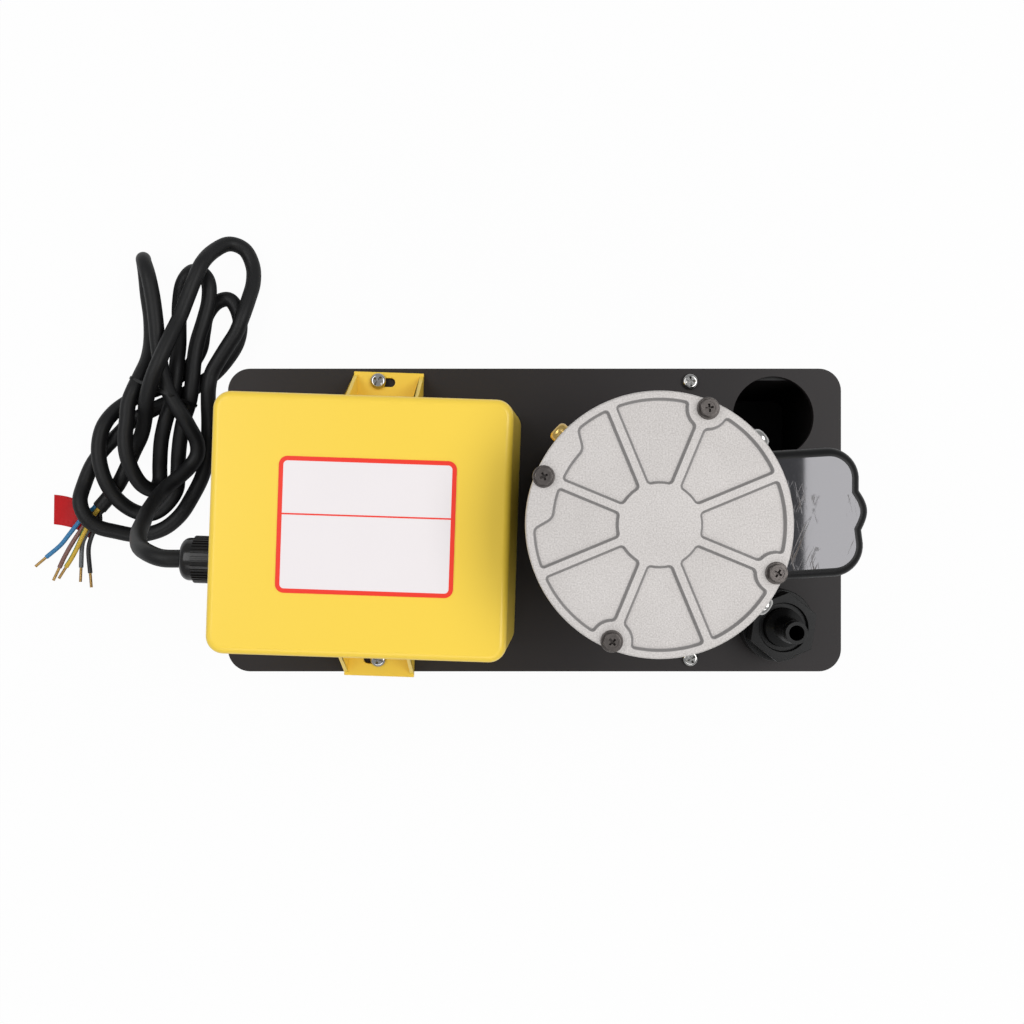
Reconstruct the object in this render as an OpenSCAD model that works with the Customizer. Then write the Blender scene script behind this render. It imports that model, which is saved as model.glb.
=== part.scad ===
// Condensate tank pump: a tank with a lid, a vertical motor and pump, a float
// switch under a yellow cover, a hose outlet and a tied supply cable.
// Millimetres, +Z up, origin on the floor at the middle of the tank's base,
// +X towards the inlet and the outlet.

/* [Tank] */
// Length of the lid
lid_l = 330; // [320:1:360]
// Width of the lid
lid_w = 163; // [160:1:180]
// Radius of the corners of the lid
lid_corner_r = 12; // [8:1:20]
// Height of the tank with its lid
tank_h = 110; // [105:1:130]
// Thickness of the lid plate
lid_t = 4; // [3:0.5:5]
// Height of the rim that hangs from the lid
skirt_h = 8; // [5:1:14]
// Thickness of the rim that hangs from the lid
skirt_t = 2.5; // [2:0.25:3]
// Gap between that rim and the tank
skirt_gap = 0.4; // [0.2:0.1:0.8]
// Thickness of the tank wall and floor
tank_wall = 3; // [2:0.5:4]
// How far each wall leans in between rim and floor
tank_draft = 2; // [0.5:0.5:4]
// Thickness of the gasket under the lid
gasket_t = 1; // [0.5:0.25:2]
// Distance between the lid screws along the lid
lid_screw_span_x = 167.5; // [160:0.5:180]
// Distance of each lid screw from the long edge of the lid
lid_screw_edge = 7.2; // [6.5:0.1:7.8]
// Radius of a lid screw
lid_screw_r = 2; // [1.5:0.25:2.5]
// Length of a lid screw
lid_screw_l = 20; // [14:1:24]
// Radius of a lid screw head
pan_head_r = 4.3; // [3.6:0.1:5]
// Height of a lid screw head
pan_head_h = 2.8; // [2:0.2:3.5]
// Middle of the inlet hole from the end of the lid
inlet_from_end = 36.5; // [30:0.5:45]
// Middle of the inlet hole from the long edge of the lid
inlet_from_side = 26; // [25:0.5:27.5]
// Radius of the inlet hole
inlet_r = 21.8; // [15:0.1:23]

/* [Outlet] */
// Middle of the outlet from the end of the lid
outlet_from_end = 36.5; // [30:0.5:45]
// Middle of the outlet from the long edge of the lid
outlet_from_side = 26; // [23.5:0.5:31.5]
// Radius of the round collar on the lid
collar_r = 19.2; // [17:0.1:21]
// Height of the round collar
collar_h = 12.5; // [8:0.5:18]
// Radius of the neck that goes through the lid
neck_r = 12.4; // [11.5:0.1:13.5]
// Length of the neck below the top of the lid
neck_l = 20; // [17:1:26]
// Width across flats of the union nut
union_af = 32; // [29:0.5:36]
// Height of the union nut
union_h = 12.5; // [11:0.5:16]
// Turn of the union nut
union_turn = 21.5; // [0:0.5:60]
// Radius of the recess in the top of the union nut
union_recess_r = 12.6; // [11:0.1:14]
// Depth of that recess
union_recess_h = 2.5; // [1:0.25:3.5]
// Thickness of the lip that holds the hose tail
union_lip_t = 2.5; // [1.5:0.25:3]
// Radius of the shoulder of the hose tail
shoulder_r = 9.9; // [8.5:0.1:10.5]
// Length of the shoulder of the hose tail
shoulder_h = 8; // [5:0.5:10]
// Radius of the hose tail
tail_r = 5.6; // [4.8:0.1:6.4]
// Bore radius of the hose tail
tail_bore_r = 3.75; // [3:0.05:4]
// Height of the hose tail's tip above the lid
tail_top = 54; // [46:1:64]
// Number of barbs on the hose tail
barb_count = 3; // [2:1:4]
// Length of a barb
barb_l = 4; // [3:0.25:4.25]
// How far a barb stands out
barb_out = 0.9; // [0.5:0.1:1.2]
// Radius of the check ball
ball_r = 7.5; // [7:0.1:8]
// Lift of the check ball
ball_lift = 6; // [3:0.5:8]
// Inner radius of the riser pipe
riser_bore_r = 6.3; // [5:0.1:6.5]
// Outer radius of the riser pipe
riser_r = 8; // [7.5:0.1:8.5]

/* [Motor] */
// Motor axis from the middle of the lid, along the lid
motor_x = 49.2; // [46:0.2:52]
// Motor axis from the middle of the lid, across the lid
motor_y = -1; // [-4:0.5:2]
// Radius of the end cap
cap_r = 55.7; // [55.3:0.1:57]
// Height of the end cap
cap_h = 20; // [18:0.5:24]
// Thickness of the end cap's top
cap_top_t = 5; // [4:0.5:6]
// Depth of the pockets between the ribs
pocket_d = 2; // [1:0.25:3]
// Outer radius of the pockets
pocket_r = 52.7; // [50:0.1:53]
// Radius of the round hub face
cap_hub_r = 17; // [12:0.5:20]
// Width of a rib
rib_w = 3; // [2:0.25:5]
// Number of ribs
rib_count = 8; // [8:4:16]
// Radius of the circle of the cap screws
cap_screw_pitch_r = 52.2; // [51.5:0.1:52.6]
// Radius of the pad under a cap screw
cap_pad_r = 8; // [6:0.5:9]
// Radius of a cap screw
cap_screw_r = 2; // [1.5:0.25:2.25]
// Outer radius of the motor shell
shell_r = 53.6; // [53.2:0.1:54]
// Wall of the motor shell
shell_wall = 3; // [2:0.25:3.5]
// Height of the motor shell
shell_h = 122; // [120:1:140]
// Thickness of the flange round the top of the shell
shell_flange_t = 4; // [3:0.5:5]
// How far the flange stands out of the shell
shell_flange_out = 1.6; // [1.2:0.1:1.6]
// Thickness of the motor base plate
base_t = 8; // [7:0.5:9]
// Height of the ring of the base inside the shell
spigot_h = 8; // [6:0.5:9]
// Radius of the shaft
shaft_r = 6; // [5:0.25:6.5]
// Outer radius of a bearing
bearing_r = 16; // [14:0.5:17]
// Width of a bearing
bearing_w = 10; // [8:0.5:10]
// Height of the stator core
stator_h = 60; // [50:1:64]
// Bore radius of the stator core
stator_bore_r = 30.4; // [29:0.1:32]
// Air gap between stator and rotor
air_gap = 0.4; // [0.3:0.05:0.8]
// Height of the stator above the foot of the shell
stator_lift = 32; // [29:0.5:34]
// Height of an end winding
winding_h = 12; // [8:0.5:12]
// Radius of the cooling fan
fan_r = 42; // [36:0.5:44]
// Number of fan blades
fan_blades = 8; // [5:1:12]

/* [Pump] */
// Outer radius of the volute casing
volute_r = 37; // [36:0.5:39]
// Radius of the pump chamber
chamber_r = 30; // [28.5:0.5:30]
// Height of the pump chamber
chamber_h = 20; // [18:0.5:22]
// Height of the strainer skirt under the casing
strainer_h = 7; // [5:0.5:9]
// Thickness of the strainer plate
strainer_t = 4; // [3:0.5:5]
// Number of strainer slots
strainer_slots = 12; // [8:1:16]
// Radius of the impeller
impeller_r = 27; // [25:0.5:28]
// Number of impeller vanes
vane_count = 6; // [4:1:8]
// Outer radius of the pump column
column_r = 20; // [19.5:0.25:21]
// Wall of the pump column
column_wall = 3.5; // [2.5:0.25:3.75]

/* [Capacitor] */
// Width of the capacitor cover
cover_w = 59.8; // [54:0.2:62]
// Distance of the cover's face from the motor axis
cover_reach = 100.8; // [98:0.2:104]
// Height of the cover's top above the lid
cover_top = 95; // [90:1:98]
// Height of the cover's foot above the lid
cover_foot = 15; // [14:0.5:20]
// Radius of the corners of the cover
cover_corner_r = 14.5; // [10:0.5:15]
// Wall of the cover
cover_wall = 2; // [1.5:0.25:2.5]
// Turn of the cover round the motor
cover_turn = 3.5; // [0:0.5:5]
// How far the middle of the face stands out
cover_bump = 2.2; // [1:0.2:3]
// Radius of the capacitor
capacitor_r = 19; // [15:0.5:19.5]
// Length of the capacitor
capacitor_l = 66; // [50:1:68]

/* [Switch cover] */
// Middle of the switch cover along the lid
box_x = -80.8; // [-84:0.2:-80]
// Middle of the switch cover across the lid
box_y = -2.3; // [-3:0.1:-1]
// Turn of the switch cover
box_turn = -1.9; // [-2:0.1:0]
// Length of the cover at its foot
box_l = 143.4; // [138:0.2:146]
// Height of the cover
box_h = 108; // [98:1:116]
// How far each end leans in
box_draft_l = 3.9; // [2:0.1:5]
// How far each side leans in
box_draft_w = 3.75; // [2:0.05:5]
// Radius of the upright corners
box_corner_r = 8; // [6:0.5:12]
// Radius of the edge round the top
box_edge_r = 3; // [2:0.25:4]
// Wall of the cover
box_wall = 2.5; // [2:0.25:3]
// Thickness of a foot of the cover
foot_t = 2.5; // [2:0.25:3.5]
// Width of a foot of the cover
foot_w = 37.5; // [34:0.5:42]
// How far a foot of the cover stands out, up to the edge of the lid
foot_l = 18.5; // [16.5:0.5:20.5]
// Height of the gussets
gusset_h = 46; // [30:1:56]
// Thickness of a gusset
gusset_t = 2.2; // [1.5:0.1:3]
// Length of the blank label panel
label_l = 79.9; // [60:0.1:90]
// Width of the blank label panel
label_w = 61.5; // [40:0.5:70]
// Thickness of the label panel
label_t = 0.5; // [0.3:0.1:1]
// Radius of the corners of the label panel
label_corner_r = 3.9; // [2:0.1:6]
// Width of the border of the label panel
label_border = 2; // [1:0.25:4]

/* [Cable gland] */
// Height of the cable gland above the lid
gland_lift = 35; // [32:0.5:40]
// Cable gland from the middle of the cover
gland_y = -20.5; // [-22:0.5:-19]
// Radius of the gland's thread
gland_thread_r = 8; // [7.5:0.1:8.5]
// Radius of the gland's seat on the wall
gland_seat_r = 11.5; // [10:0.1:12]
// Length of the gland's seat
gland_seat_l = 8; // [6:0.5:9]
// Radius of the ribbed collar
gland_collar_r = 12.1; // [11:0.1:13]
// Length of the ribbed collar
gland_collar_l = 13; // [11:0.5:15]
// Radius of the domed nose
gland_nose_r = 10.9; // [9.5:0.1:11]
// Radius of the nose at its tip
gland_tip_r = 7.5; // [6.5:0.1:8.5]
// Number of ribs round the collar
gland_ribs = 18; // [12:1:24]

/* [Float switch] */
// Float rod from the middle of the cover, along the lid
rod_offset_x = -40; // [-43:0.5:-36]
// Float rod from the middle of the lid, across the lid
rod_y = 12; // [8:0.5:16]
// Radius of the float rod
rod_r = 2; // [1.5:0.25:2.5]
// Travel of the float
float_travel = 26; // [16:0.5:27]
// Radius of the float
float_r = 30; // [24:0.5:32]
// Height of the float
float_h = 40; // [26:1:42]
// Length of the switch lever from pivot to rod
lever_l = 64; // [60:0.5:66]
// Length of the lever's short arm
short_l = 7; // [6.5:0.25:8]
// Thickness of the lever
lever_t = 2; // [1.5:0.25:2.5]
// Radius of the lever's hub
lever_hub_r = 3; // [2.5:0.1:3.25]
// Radius of the lever pin
pin_r = 1.5; // [1:0.1:1.75]
// Width of one microswitch
micro_w = 10.3; // [9:0.1:11]
// Length of one microswitch
micro_l = 28; // [24:0.5:30]
// Radius of a switch plunger
plunger_r = 1.5; // [1:0.1:1.75]
// Number of terminals
pole_count = 5; // [5:1:6]

/* [Supply cable] */
// Diameter of the supply cable
cable_d = 9.2; // [7.6:0.1:9.4]
// Diameter of a core
core_d = 2.8; // [2.4:0.1:2.9]
// Diameter of the bared copper
copper_d = 1.8; // [1:0.1:2]

/* [Hidden] */
$fn = 64;

// Clearances
fit = 0.05;        // round a shank, pin or shaft
gap = 0.3;         // between pieces that must stay free
cut = 1;           // overrun of a cut
thin = 0.01;       // slab that a hull is stretched between
hull_fn = 32;

// Tank and lid
lid_z = tank_h - lid_t;
tank_top = lid_z - gasket_t;
rim_size = [lid_l - 2 * (skirt_t + skirt_gap), lid_w - 2 * (skirt_t + skirt_gap)];
rim_corner_r = lid_corner_r - skirt_t - skirt_gap;
foot_plate_t = 1.5;
inlet_x = lid_l / 2 - inlet_from_end;
inlet_y = lid_w / 2 - inlet_from_side;
outlet_x = lid_l / 2 - outlet_from_end;
outlet_y = outlet_from_side - lid_w / 2;
lid_screw_x = lid_screw_span_x / 2;
lid_screw_y = lid_w / 2 - lid_screw_edge;
boss_wall = 1.5;
boss_r = lid_screw_r + boss_wall;
boss_more = 4;                 // boss below the tip of its screw
cross_share = 0.2;             // width of a cross recess, of its head's radius
cross_depth_share = 0.6;       // depth of a cross recess, of its head's height

// Outlet
neck_z = tank_h - neck_l;
pipe_socket = 8;
seat_t = 2;
seat_z = neck_z + pipe_socket + seat_t;
ball_room = 1.5;
ball_seat_gap = 0.1;
ball_z = seat_z + sqrt(pow(ball_r, 2) - pow(riser_bore_r, 2)) + ball_seat_gap;
collar_z = tank_h + collar_h;
union_z = collar_z + union_h;
union_cavity_h = union_h - union_recess_h - union_lip_t;
spigot_r = neck_r - 0.4 * boss_wall;
tail_flange_t = 1.5;
tail_seal_t = 1.5;
spigot_l = union_cavity_h - tail_flange_t - tail_seal_t;
tail_flange_r = spigot_r - gap;
tail_cone_l = 3;
tail_tip_l = 6;
root_drop = 0.3;               // between the barbs, below the radius of the tip
tail_tip_z = tank_h + tail_top;
shoulder_z = collar_z + union_cavity_h;
barb_z = shoulder_z + shoulder_h + tail_cone_l;
barb_pitch = (tail_tip_z - tail_tip_l - barb_z) / barb_count;
locknut_r = neck_r + 5.6;
locknut_t = 6;

// Motor
shell_z = tank_h + base_t;
shell_top = shell_z + shell_h;
cap_z = shell_top + cap_h;
cap_skirt_t = 3.1;
hub_wall = 3;
upper_bearing_z = shell_top + hub_wall;
bearing_web = 2;                // base plate left under the bearing
lower_bearing_z = tank_h + bearing_web;
bearing_ring_share = 0.3;      // thickness of an inner or outer ring, of the bearing's section
cap_boss_r = cap_screw_r + 3;
cap_screw_first = 67.5;
cap_screw_count = 4;
cap_screw_l = cap_h + shell_flange_t;
cap_washer_r = 4.4;
cap_washer_t = 1;
cap_head_af = 7;
cap_head_h = 2.6;
pad_from = 132;                // wide pad that the cap has beside one screw, in degrees
pad_to = 177;
pad_inner_r = 45;
rim_screw_angles = [39.9, -37.1];
earth_angle = 136.7;
rim_screw_drop = 10.5;         // below the top of the cap
rim_screw_r = 2;
rim_screw_l = 7;
rim_head_r = 4.3;
rim_head_h = 3.4;
base_hub_r = bearing_r + hub_wall;
seal_r = 12;
seal_t = 7;
seal_lip = 0.05;
hub_nose_r = bearing_r;
hub_nose_l = seal_t + 1;
base_screw_pitch_r = 32;
base_screw_r = 2.5;
base_screw_count = 4;
base_screw_bite = 6;           // into the motor base
base_head_r = 4.5;
base_head_h = 3;
spigot_t = 4.5;
shell_screw_r = 1.75;
shell_screw_l = 6;
shell_head_r = 3.4;
shell_head_h = 2.2;
shell_screw_lift = spigot_h / 2;
shell_screw_angles = [45, 135, 225, 315];
stator_z = shell_z + stator_lift;
stator_r = shell_r - shell_wall - fit;
stator_slots = 12;
slot_r = 3;
slot_pitch_r = stator_bore_r + 1.5 * slot_r;
rotor_r = stator_bore_r - air_gap;
rotor_end = 5;                 // end ring beyond the stator
rotor_end_r = rotor_r - 2;
winding_inner_r = stator_bore_r + 2.6;
winding_r = stator_r - 4.5;
winding_corner = 3;
fan_z = stator_z + stator_h + winding_h + 2;
fan_h = 9;
fan_plate_t = 2;
fan_hub_r = 10;

// Pump
strainer_z = tank_wall;
strainer_plate_z = strainer_z + strainer_h;
chamber_z = strainer_plate_z + strainer_t;
volute_top_t = 4;
volute_z = chamber_z + chamber_h + volute_top_t;
eye_r = 12;
strainer_skirt_t = 1.6;
strainer_slot_w = 6;
shaft_room = 0.4;
pipe_wall = 2.7;
throat_edge = 0.7;
throat_offset = chamber_r - riser_bore_r - throat_edge;
throat_z = chamber_z + chamber_h / 2;
outlet_run = [outlet_x - motor_x, outlet_y - motor_y];
throat_turn = atan2(outlet_run.y, outlet_run.x) + asin(throat_offset / norm(outlet_run));
throat_l = sqrt(pow(norm(outlet_run), 2) - pow(throat_offset, 2));
socket_r = riser_r + 3;
socket_z = throat_z + riser_bore_r + pipe_wall;
socket_l = 12;
elbow_r = riser_bore_r + 0.3 * throat_edge;
impeller_low = 2;              // room below the impeller
impeller_high = 3;             // room above it
impeller_z = chamber_z + impeller_low;
impeller_h = chamber_h - impeller_low - impeller_high;
impeller_plate_t = 3;
impeller_hub_r = 10;
vane_t = 2.2;
vane_edge = 0.6;               // vanes back from the rim of the plate
vane_bend_share = 0.52;        // radius of a vane's arc, of the impeller's radius
stud_r = 3;
stud_l = 7;
impeller_nut_af = 10;
impeller_nut_h = 6;
column_flange_t = 5;
column_flange_r = base_screw_pitch_r + 6;
column_foot_t = 4;
column_foot_r = 31;
weep_r = 3;
weep_count = 4;
pump_screw_r = 2;
pump_screw_pitch_r = 26;
pump_head_r = 3.5;
pump_head_h = 3;
strainer_screw_pitch_r = 32.6;
strainer_screw_r = 1.5;
strainer_screw_l = 14;
strainer_head_r = 2.6;
strainer_head_h = 2;
pump_screw_count = 4;

// Capacitor
band_t = 1.5;
band_r = shell_r + band_t;
band_low = 2;                  // band below the cover's foot
shelf_t = 2;
cover_z = tank_h + cover_foot;
cover_h = cover_top - cover_foot;
cover_inner_x = 30;            // inner end of the outline, inside the motor
cover_flange = 1.5;
cover_flange_h = 3;
cover_bump_w = 17.5;
capacitor_x = cover_reach - cover_wall - capacitor_r - 2;
capacitor_tag = [6.3, 0.8, 8]; // blade on a capacitor
capacitor_tag_step = 5;
band_screw_angles = [-20, 20];
band_screw_drop = 14;          // below the top of the shell

// Switch cover
foot_span = lid_w;
box_w = foot_span - 2 * foot_l;
box_edge_steps = [0, 30, 60, 90];
slot_w = 2 * (lid_screw_r + 0.35 * lid_screw_r / 2);
slot_l = 12;
slot_x = -2.5;
gusset_edge = 0.5;             // gusset back from the edge of its foot
label_x = 3.2;
divider_share = 0.422;         // dividing line from the top, of the label's width
divider_t = 0.7;
label_print_t = 0.1;

// Cable gland
cable_r = cable_d / 2;
gland_nose_l = 6.7;
gland_x = box_l / 2 - box_draft_l * (gland_lift - gland_seat_r) / box_h;
gland_inner_l = 16;
gland_thread_l = gland_seat_l + 0.75 * gland_collar_l;
gland_bore_r = cable_r + 0.7;
seal_sleeve_r = gland_thread_r - 1;
seal_sleeve_l = 6;
gland_tip = gland_seat_l + gland_collar_l + gland_nose_l;
gland_locknut_r = gland_thread_r + 3.9;
gland_locknut_t = 5;
locknut_back = box_wall + box_draft_l * (gland_seat_r + gland_locknut_r) / box_h + gap;
rib_r = 0.9;
cable_inner_l = 20;

// Float switch
rod_x = box_x + rod_offset_x;
pivot_x = rod_x + lever_l;
lever_swing = float_travel / lever_l * 180 / PI;
lever_tilt = lever_swing / 2;
bush_flange_t = 3;
bush_flange_r = 8;
bush_r = 5.5;
bush_tail = 6;
bush_fit = 0.1;
rod_collar_r = 5;
rod_collar_h = 4;
fork_slack = 0.5;
fork_half = lever_t / 2 / cos(lever_tilt) + rod_collar_r * tan(lever_tilt) + fork_slack;
fork_z = tank_h + bush_flange_t + rod_collar_h + fork_half;
pivot_z = fork_z + lever_l * sin(lever_tilt);
rod_head = 3;
rod_tail = 2;
float_room = 2;                // under the bush with the float at its highest
float_z = lid_z - bush_tail - float_travel - float_room - rod_collar_h - float_h;
plunger_travel = 2 * short_l * tan(lever_tilt);
plunger_z = pivot_z + (short_l - plunger_r) * tan(lever_tilt) - lever_t / 2 / cos(lever_tilt) - gap;
plunger_proud = 0.6;           // plunger above its switch when pressed
plunger_in = 5;
bracket_t = 2;
micro_top = plunger_z - plunger_travel - plunger_proud;
micro_z = tank_h + bracket_t;
micro_back = 8;                // switch behind its plunger
lever_w = 2 * micro_w - 1;
fork_w = 12;
fork_end = 6;
fork_slot = 5;
short_end = 1.5;
rod_room = 0.4;
cheek_y = micro_w + gap / 2;
cheek_front = 6;
cheek_more = 5;
switch_pin_r = 1.2;
switch_pin_lift = 5;
switch_pin_step = 14;
pin_head = 1.2;
block_x = -30;                 // terminal block, from the middle of the cover
block_size = [16, 6, 22];      // one pole
terminal_r = 2;
terminal_screw_h = 1;
core_r = core_d / 2;
core_ring_r = cable_r - core_r - 0.3 * core_r;
core_angles = [162, 234, 90, 306, 18, 54];

// Supply cable: route of its middle, from the gland to the bundle and on to the jacket end
lead_route = [
    [-180, -19.5, 145], [-190, -19.2, 145], [-198, -17, 141], [-206, -14, 130], [-212, -10, 114],
    [-217, -6, 96], [-221, -2, 77], [-225, 3, 57], [-226, 9, 41], [-225, 15, 30], [-221, 21, 23]];
hank_route = [
    [-215, 27, 19], [-210, 33, 16], [-206, 40, 16], [-206, 48, 18], [-209, 56, 23], [-213, 64, 26],
    [-218, 72, 27], [-222, 81, 27], [-225, 92, 27], [-227, 105, 27], [-228, 120, 28], [-230, 135, 28],
    [-233, 148, 27], [-237, 157, 22], [-240, 160, 13], [-241, 153, 6], [-240, 140, 5], [-238, 125, 5],
    [-237, 110, 8], [-237, 98, 15], [-239, 88, 22], [-242, 79, 26], [-245, 70, 27], [-246, 60, 27],
    [-247, 49, 27], [-246, 39, 27], [-243, 29, 25], [-239, 21, 20], [-234, 18, 13], [-232, 23, 7],
    [-232, 34, 6], [-230, 48, 10], [-226, 60, 15], [-222, 72, 16], [-220, 83, 16], [-219, 95, 15],
    [-219, 108, 10], [-220, 122, 6], [-220, 135, 5], [-218, 147, 5], [-212, 154, 7], [-204, 152, 12],
    [-199, 145, 16], [-199, 134, 16], [-202, 122, 16], [-206, 109, 16], [-208, 97, 16], [-209, 85, 16],
    [-211, 73, 15], [-215, 62, 13], [-218, 51, 10], [-220, 40, 7], [-221, 29, 5], [-222, 18, 5],
    [-229, 8, 5], [-238, 3, 5], [-248, 5, 7], [-256, 12, 13], [-262, 22, 16], [-266, 34, 16],
    [-267, 46, 15], [-265, 57, 13], [-260, 66, 9], [-252, 73, 6], [-243, 78, 5], [-232, 82, 5],
    [-222, 88, 5], [-213, 96, 5], [-207, 106, 5], [-205, 117, 5], [-203, 127, 5], [-197, 135, 5],
    [-189, 137, 6], [-184, 131, 6], [-182, 121, 5], [-184, 110, 5], [-190, 100, 5], [-198, 91, 5],
    [-209, 83, 5], [-220, 76, 5], [-231, 71, 5], [-241, 66, 5], [-250, 61, 5], [-258, 53, 5],
    [-267, 44, 5], [-274, 34, 6], [-278, 22, 9], [-279, 11, 14], [-275, 1, 15], [-268, -5, 13],
    [-258, -8, 9], [-248, -10, 6], [-238, -9, 5], [-228, -5, 5], [-219, 3, 5], [-212, 14, 5],
    [-206, 26, 5], [-203, 38, 5], [-202, 50, 5], [-201, 61, 8], [-200, 71, 13], [-199, 81, 16],
    [-197, 90, 16], [-192, 99, 16], [-187, 107, 16], [-182, 115, 16], [-178, 125, 16], [-175, 136, 13],
    [-173, 147, 9], [-174, 158, 6], [-179, 168, 6], [-188, 171, 9], [-196, 165, 16], [-201, 156, 24],
    [-205, 145, 27], [-209, 134, 28], [-213, 122, 30], [-217, 111, 34], [-221, 100, 37],
    [-225, 90, 38], [-229, 81, 36], [-233, 71, 31], [-237, 62, 20], [-242, 52, 11], [-248, 42, 7],
    [-253, 32, 5], [-258, 22, 5], [-264, 14, 5], [-270, 7, 5]];
cable_route = concat(lead_route, hank_route);
path_steps = 2;                // rings from one point of the route to the next
cable_path = spline(cable_route, path_steps);
lead_last = len(lead_route) * path_steps;
gap_skip = 6;                  // neighbours that the measure of the gap leaves out
jacket_end = cable_route[len(cable_route) - 1];
jacket_dir = unit(jacket_end - cable_route[len(cable_route) - 2]);
jacket_side = [-jacket_dir.y, jacket_dir.x, 0];

// Cores: place round the jacket end, then the route of each
core_colours = ["#2f6fa5", "#74504a", "#b89a32", "#5a5d60", "#232325", "#8a4a2a"];
end_angles = [144, -144, 72, -72, 0];
core_routes = [
    [[-278, 3.5, 6], [-283, -2.3, 5.5], [-289, -9.5, 4.5], [-295, -16.5, 3.5], [-304, -24, 3]],
    [[-276.8, 0, 3.5], [-281.3, -6, 4], [-287.3, -15, 4], [-292.3, -23.5, 3.5], [-295.8, -30.5, 3]],
    [[-274.5, -1, 8], [-279.3, -9.5, 7.2], [-284, -18.5, 5.5], [-288, -25, 4], [-291.5, -30, 3]],
    [[-272.7, -0.5, 2.6], [-276.7, -6, 2.6], [-279.7, -11, 2.6], [-281.7, -17, 2.7], [-282.3, -30.5, 2.8]],
    [[-269.8, -1, 4.8], [-272.8, -6, 4.4], [-275.8, -12, 3.6], [-277.6, -20, 3], [-276.5, -34, 3]]];
copper_l = 9;
core_sides = 8;
core_steps = 3;

// Tag folded round two of the cores, with its free end lying under the others
tag_t = 0.4;
tag_z = 0.5;
tag_room = 0.4;                // between the fold and the cores
tag_outline = [
    [-299, 15.5], [-291, 14.5], [-283, 11.5], [-278, 7.5], [-275.5, 2], [-273, -4],
    [-276, -13], [-280.5, -13], [-284.5, -6.5], [-292, -4.2], [-300, -3.2]];
tag_fold = [1, 2];             // points of the core routes between which the tag is folded
tag_cores = [3, 4];

// Tie round the upper layers of the bundle
tie_y = 79;
tie_w = 3;
tie_t = 0.8;
tie_gap = 0.4;
tie_turns = [[-199, 15.8], [-210, 15.8], [-221, 16], [-242, 26.2], [-229.3, 36.2], [-221.8, 27]];

function unit(v) = v / norm(v);

// Smooth curve through points, n steps from each to the next
function spline(p, n) = concat(
    [for (i = [0 : len(p) - 2], k = [0 : n - 1]) spline_at(p, i, k / n)],
    [p[len(p) - 1]]);
function spline_at(p, i, t) = let(
    from_way = i == 0 ? p[1] - p[0] : (p[i + 1] - p[i - 1]) / 2,
    to_way = i == len(p) - 2 ? p[i + 1] - p[i] : (p[i + 2] - p[i]) / 2)
    p[i] * (2 * pow(t, 3) - 3 * pow(t, 2) + 1) + from_way * (pow(t, 3) - 2 * pow(t, 2) + t)
    + p[i + 1] * (3 * pow(t, 2) - 2 * pow(t, 3)) + to_way * (pow(t, 3) - pow(t, 2));

// Directions along a path, square to its first and last legs at the ends
function path_dirs(p) = [for (i = [0 : len(p) - 1])
    unit(p[min(i + 1, len(p) - 1)] - p[max(i - 1, 0)])];
function level_side(d) = unit(abs(d.z) < 0.9 ? [-d.y, d.x, 0] : [1, 0, 0]);
function turned_sides(dirs) = [
    for (i = 0, side = level_side(dirs[0]); i < len(dirs); i = i + 1,
        side = unit(side - (side * dirs[min(i, len(dirs) - 1)]) * dirs[min(i, len(dirs) - 1)])) side];

// Round tube swept along a path whose directions are given, of n sides
module swept(path, dirs, r, n) {
    sides = turned_sides(dirs);
    last = len(path) - 1;
    rings = [for (i = [0 : last]) let(
        side = unit(sides[i] - (sides[i] * dirs[i]) * dirs[i]),
        up = cross(dirs[i], side))
        for (k = [0 : n - 1]) path[i] + r * (cos(k * 360 / n) * side + sin(k * 360 / n) * up)];
    polyhedron(rings, concat(
        [for (i = [0 : last - 1], k = [0 : n - 1]) let(q = (k + 1) % n)
            [i * n + k, (i + 1) * n + k, (i + 1) * n + q]],
        [for (i = [0 : last - 1], k = [0 : n - 1]) let(q = (k + 1) % n)
            [i * n + k, (i + 1) * n + q, i * n + q]],
        [for (k = [1 : n - 2]) [0, k, k + 1]],
        [for (k = [1 : n - 2]) [last * n, last * n + k + 1, last * n + k]]));
}

// Least distance from a point to the stretch between two others
function leg_distance(p, a, b) = let(
    share = max(0, min(1, (p - a) * (b - a) / ((b - a) * (b - a)))))
    norm(p - a - share * (b - a));
function self_gap(p, d, skip) = min([for (i = [0 : len(p) - skip - 2], j = [i + skip : len(p) - 2])
    leg_distance(p[i], p[j], p[j + 1])]) - d;
function slice(p, from, to, step = 1) = [for (i = [from : step : to]) p[i]];

// Flat rectangle with round corners, centred
module round_rect(size, r) {
    square([size.x - 2 * r, size.y], center = true);
    square([size.x, size.y - 2 * r], center = true);
    for (x = [-1, 1], y = [-1, 1])
        translate([x * (size.x / 2 - r), y * (size.y / 2 - r)]) circle(r);
}

// Tube standing on z = 0
module ring(r_out, r_in, h) difference() {
    cylinder(r = r_out, h = h);
    translate([0, 0, -cut]) cylinder(r = r_in, h = h + 2 * cut);
}

// Hexagonal prism standing on z = 0
module hex_bar(af, h) cylinder(r = af / sqrt(3), h = h, $fn = 6);

// Cross recess in the top of a head
module cross_recess(r, h) for (turn = [0, 90]) rotate(turn)
    translate([-0.6 * r, -cross_share * r / 2, h * (1 - cross_depth_share)])
        cube([1.2 * r, cross_share * r, h]);

// Pan-head screw, head above z = 0 and shank below
module pan_screw(r, l, head_r, head_h) {
    dome_r = (pow(head_r, 2) + pow(head_h, 2)) / (2 * head_h);
    translate([0, 0, -l]) cylinder(r = r, h = l + head_h / 4);
    difference() {
        intersection() {
            cylinder(r = head_r, h = head_h);
            translate([0, 0, head_h - dome_r]) sphere(dome_r);
        }
        cross_recess(head_r, head_h);
    }
}

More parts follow.
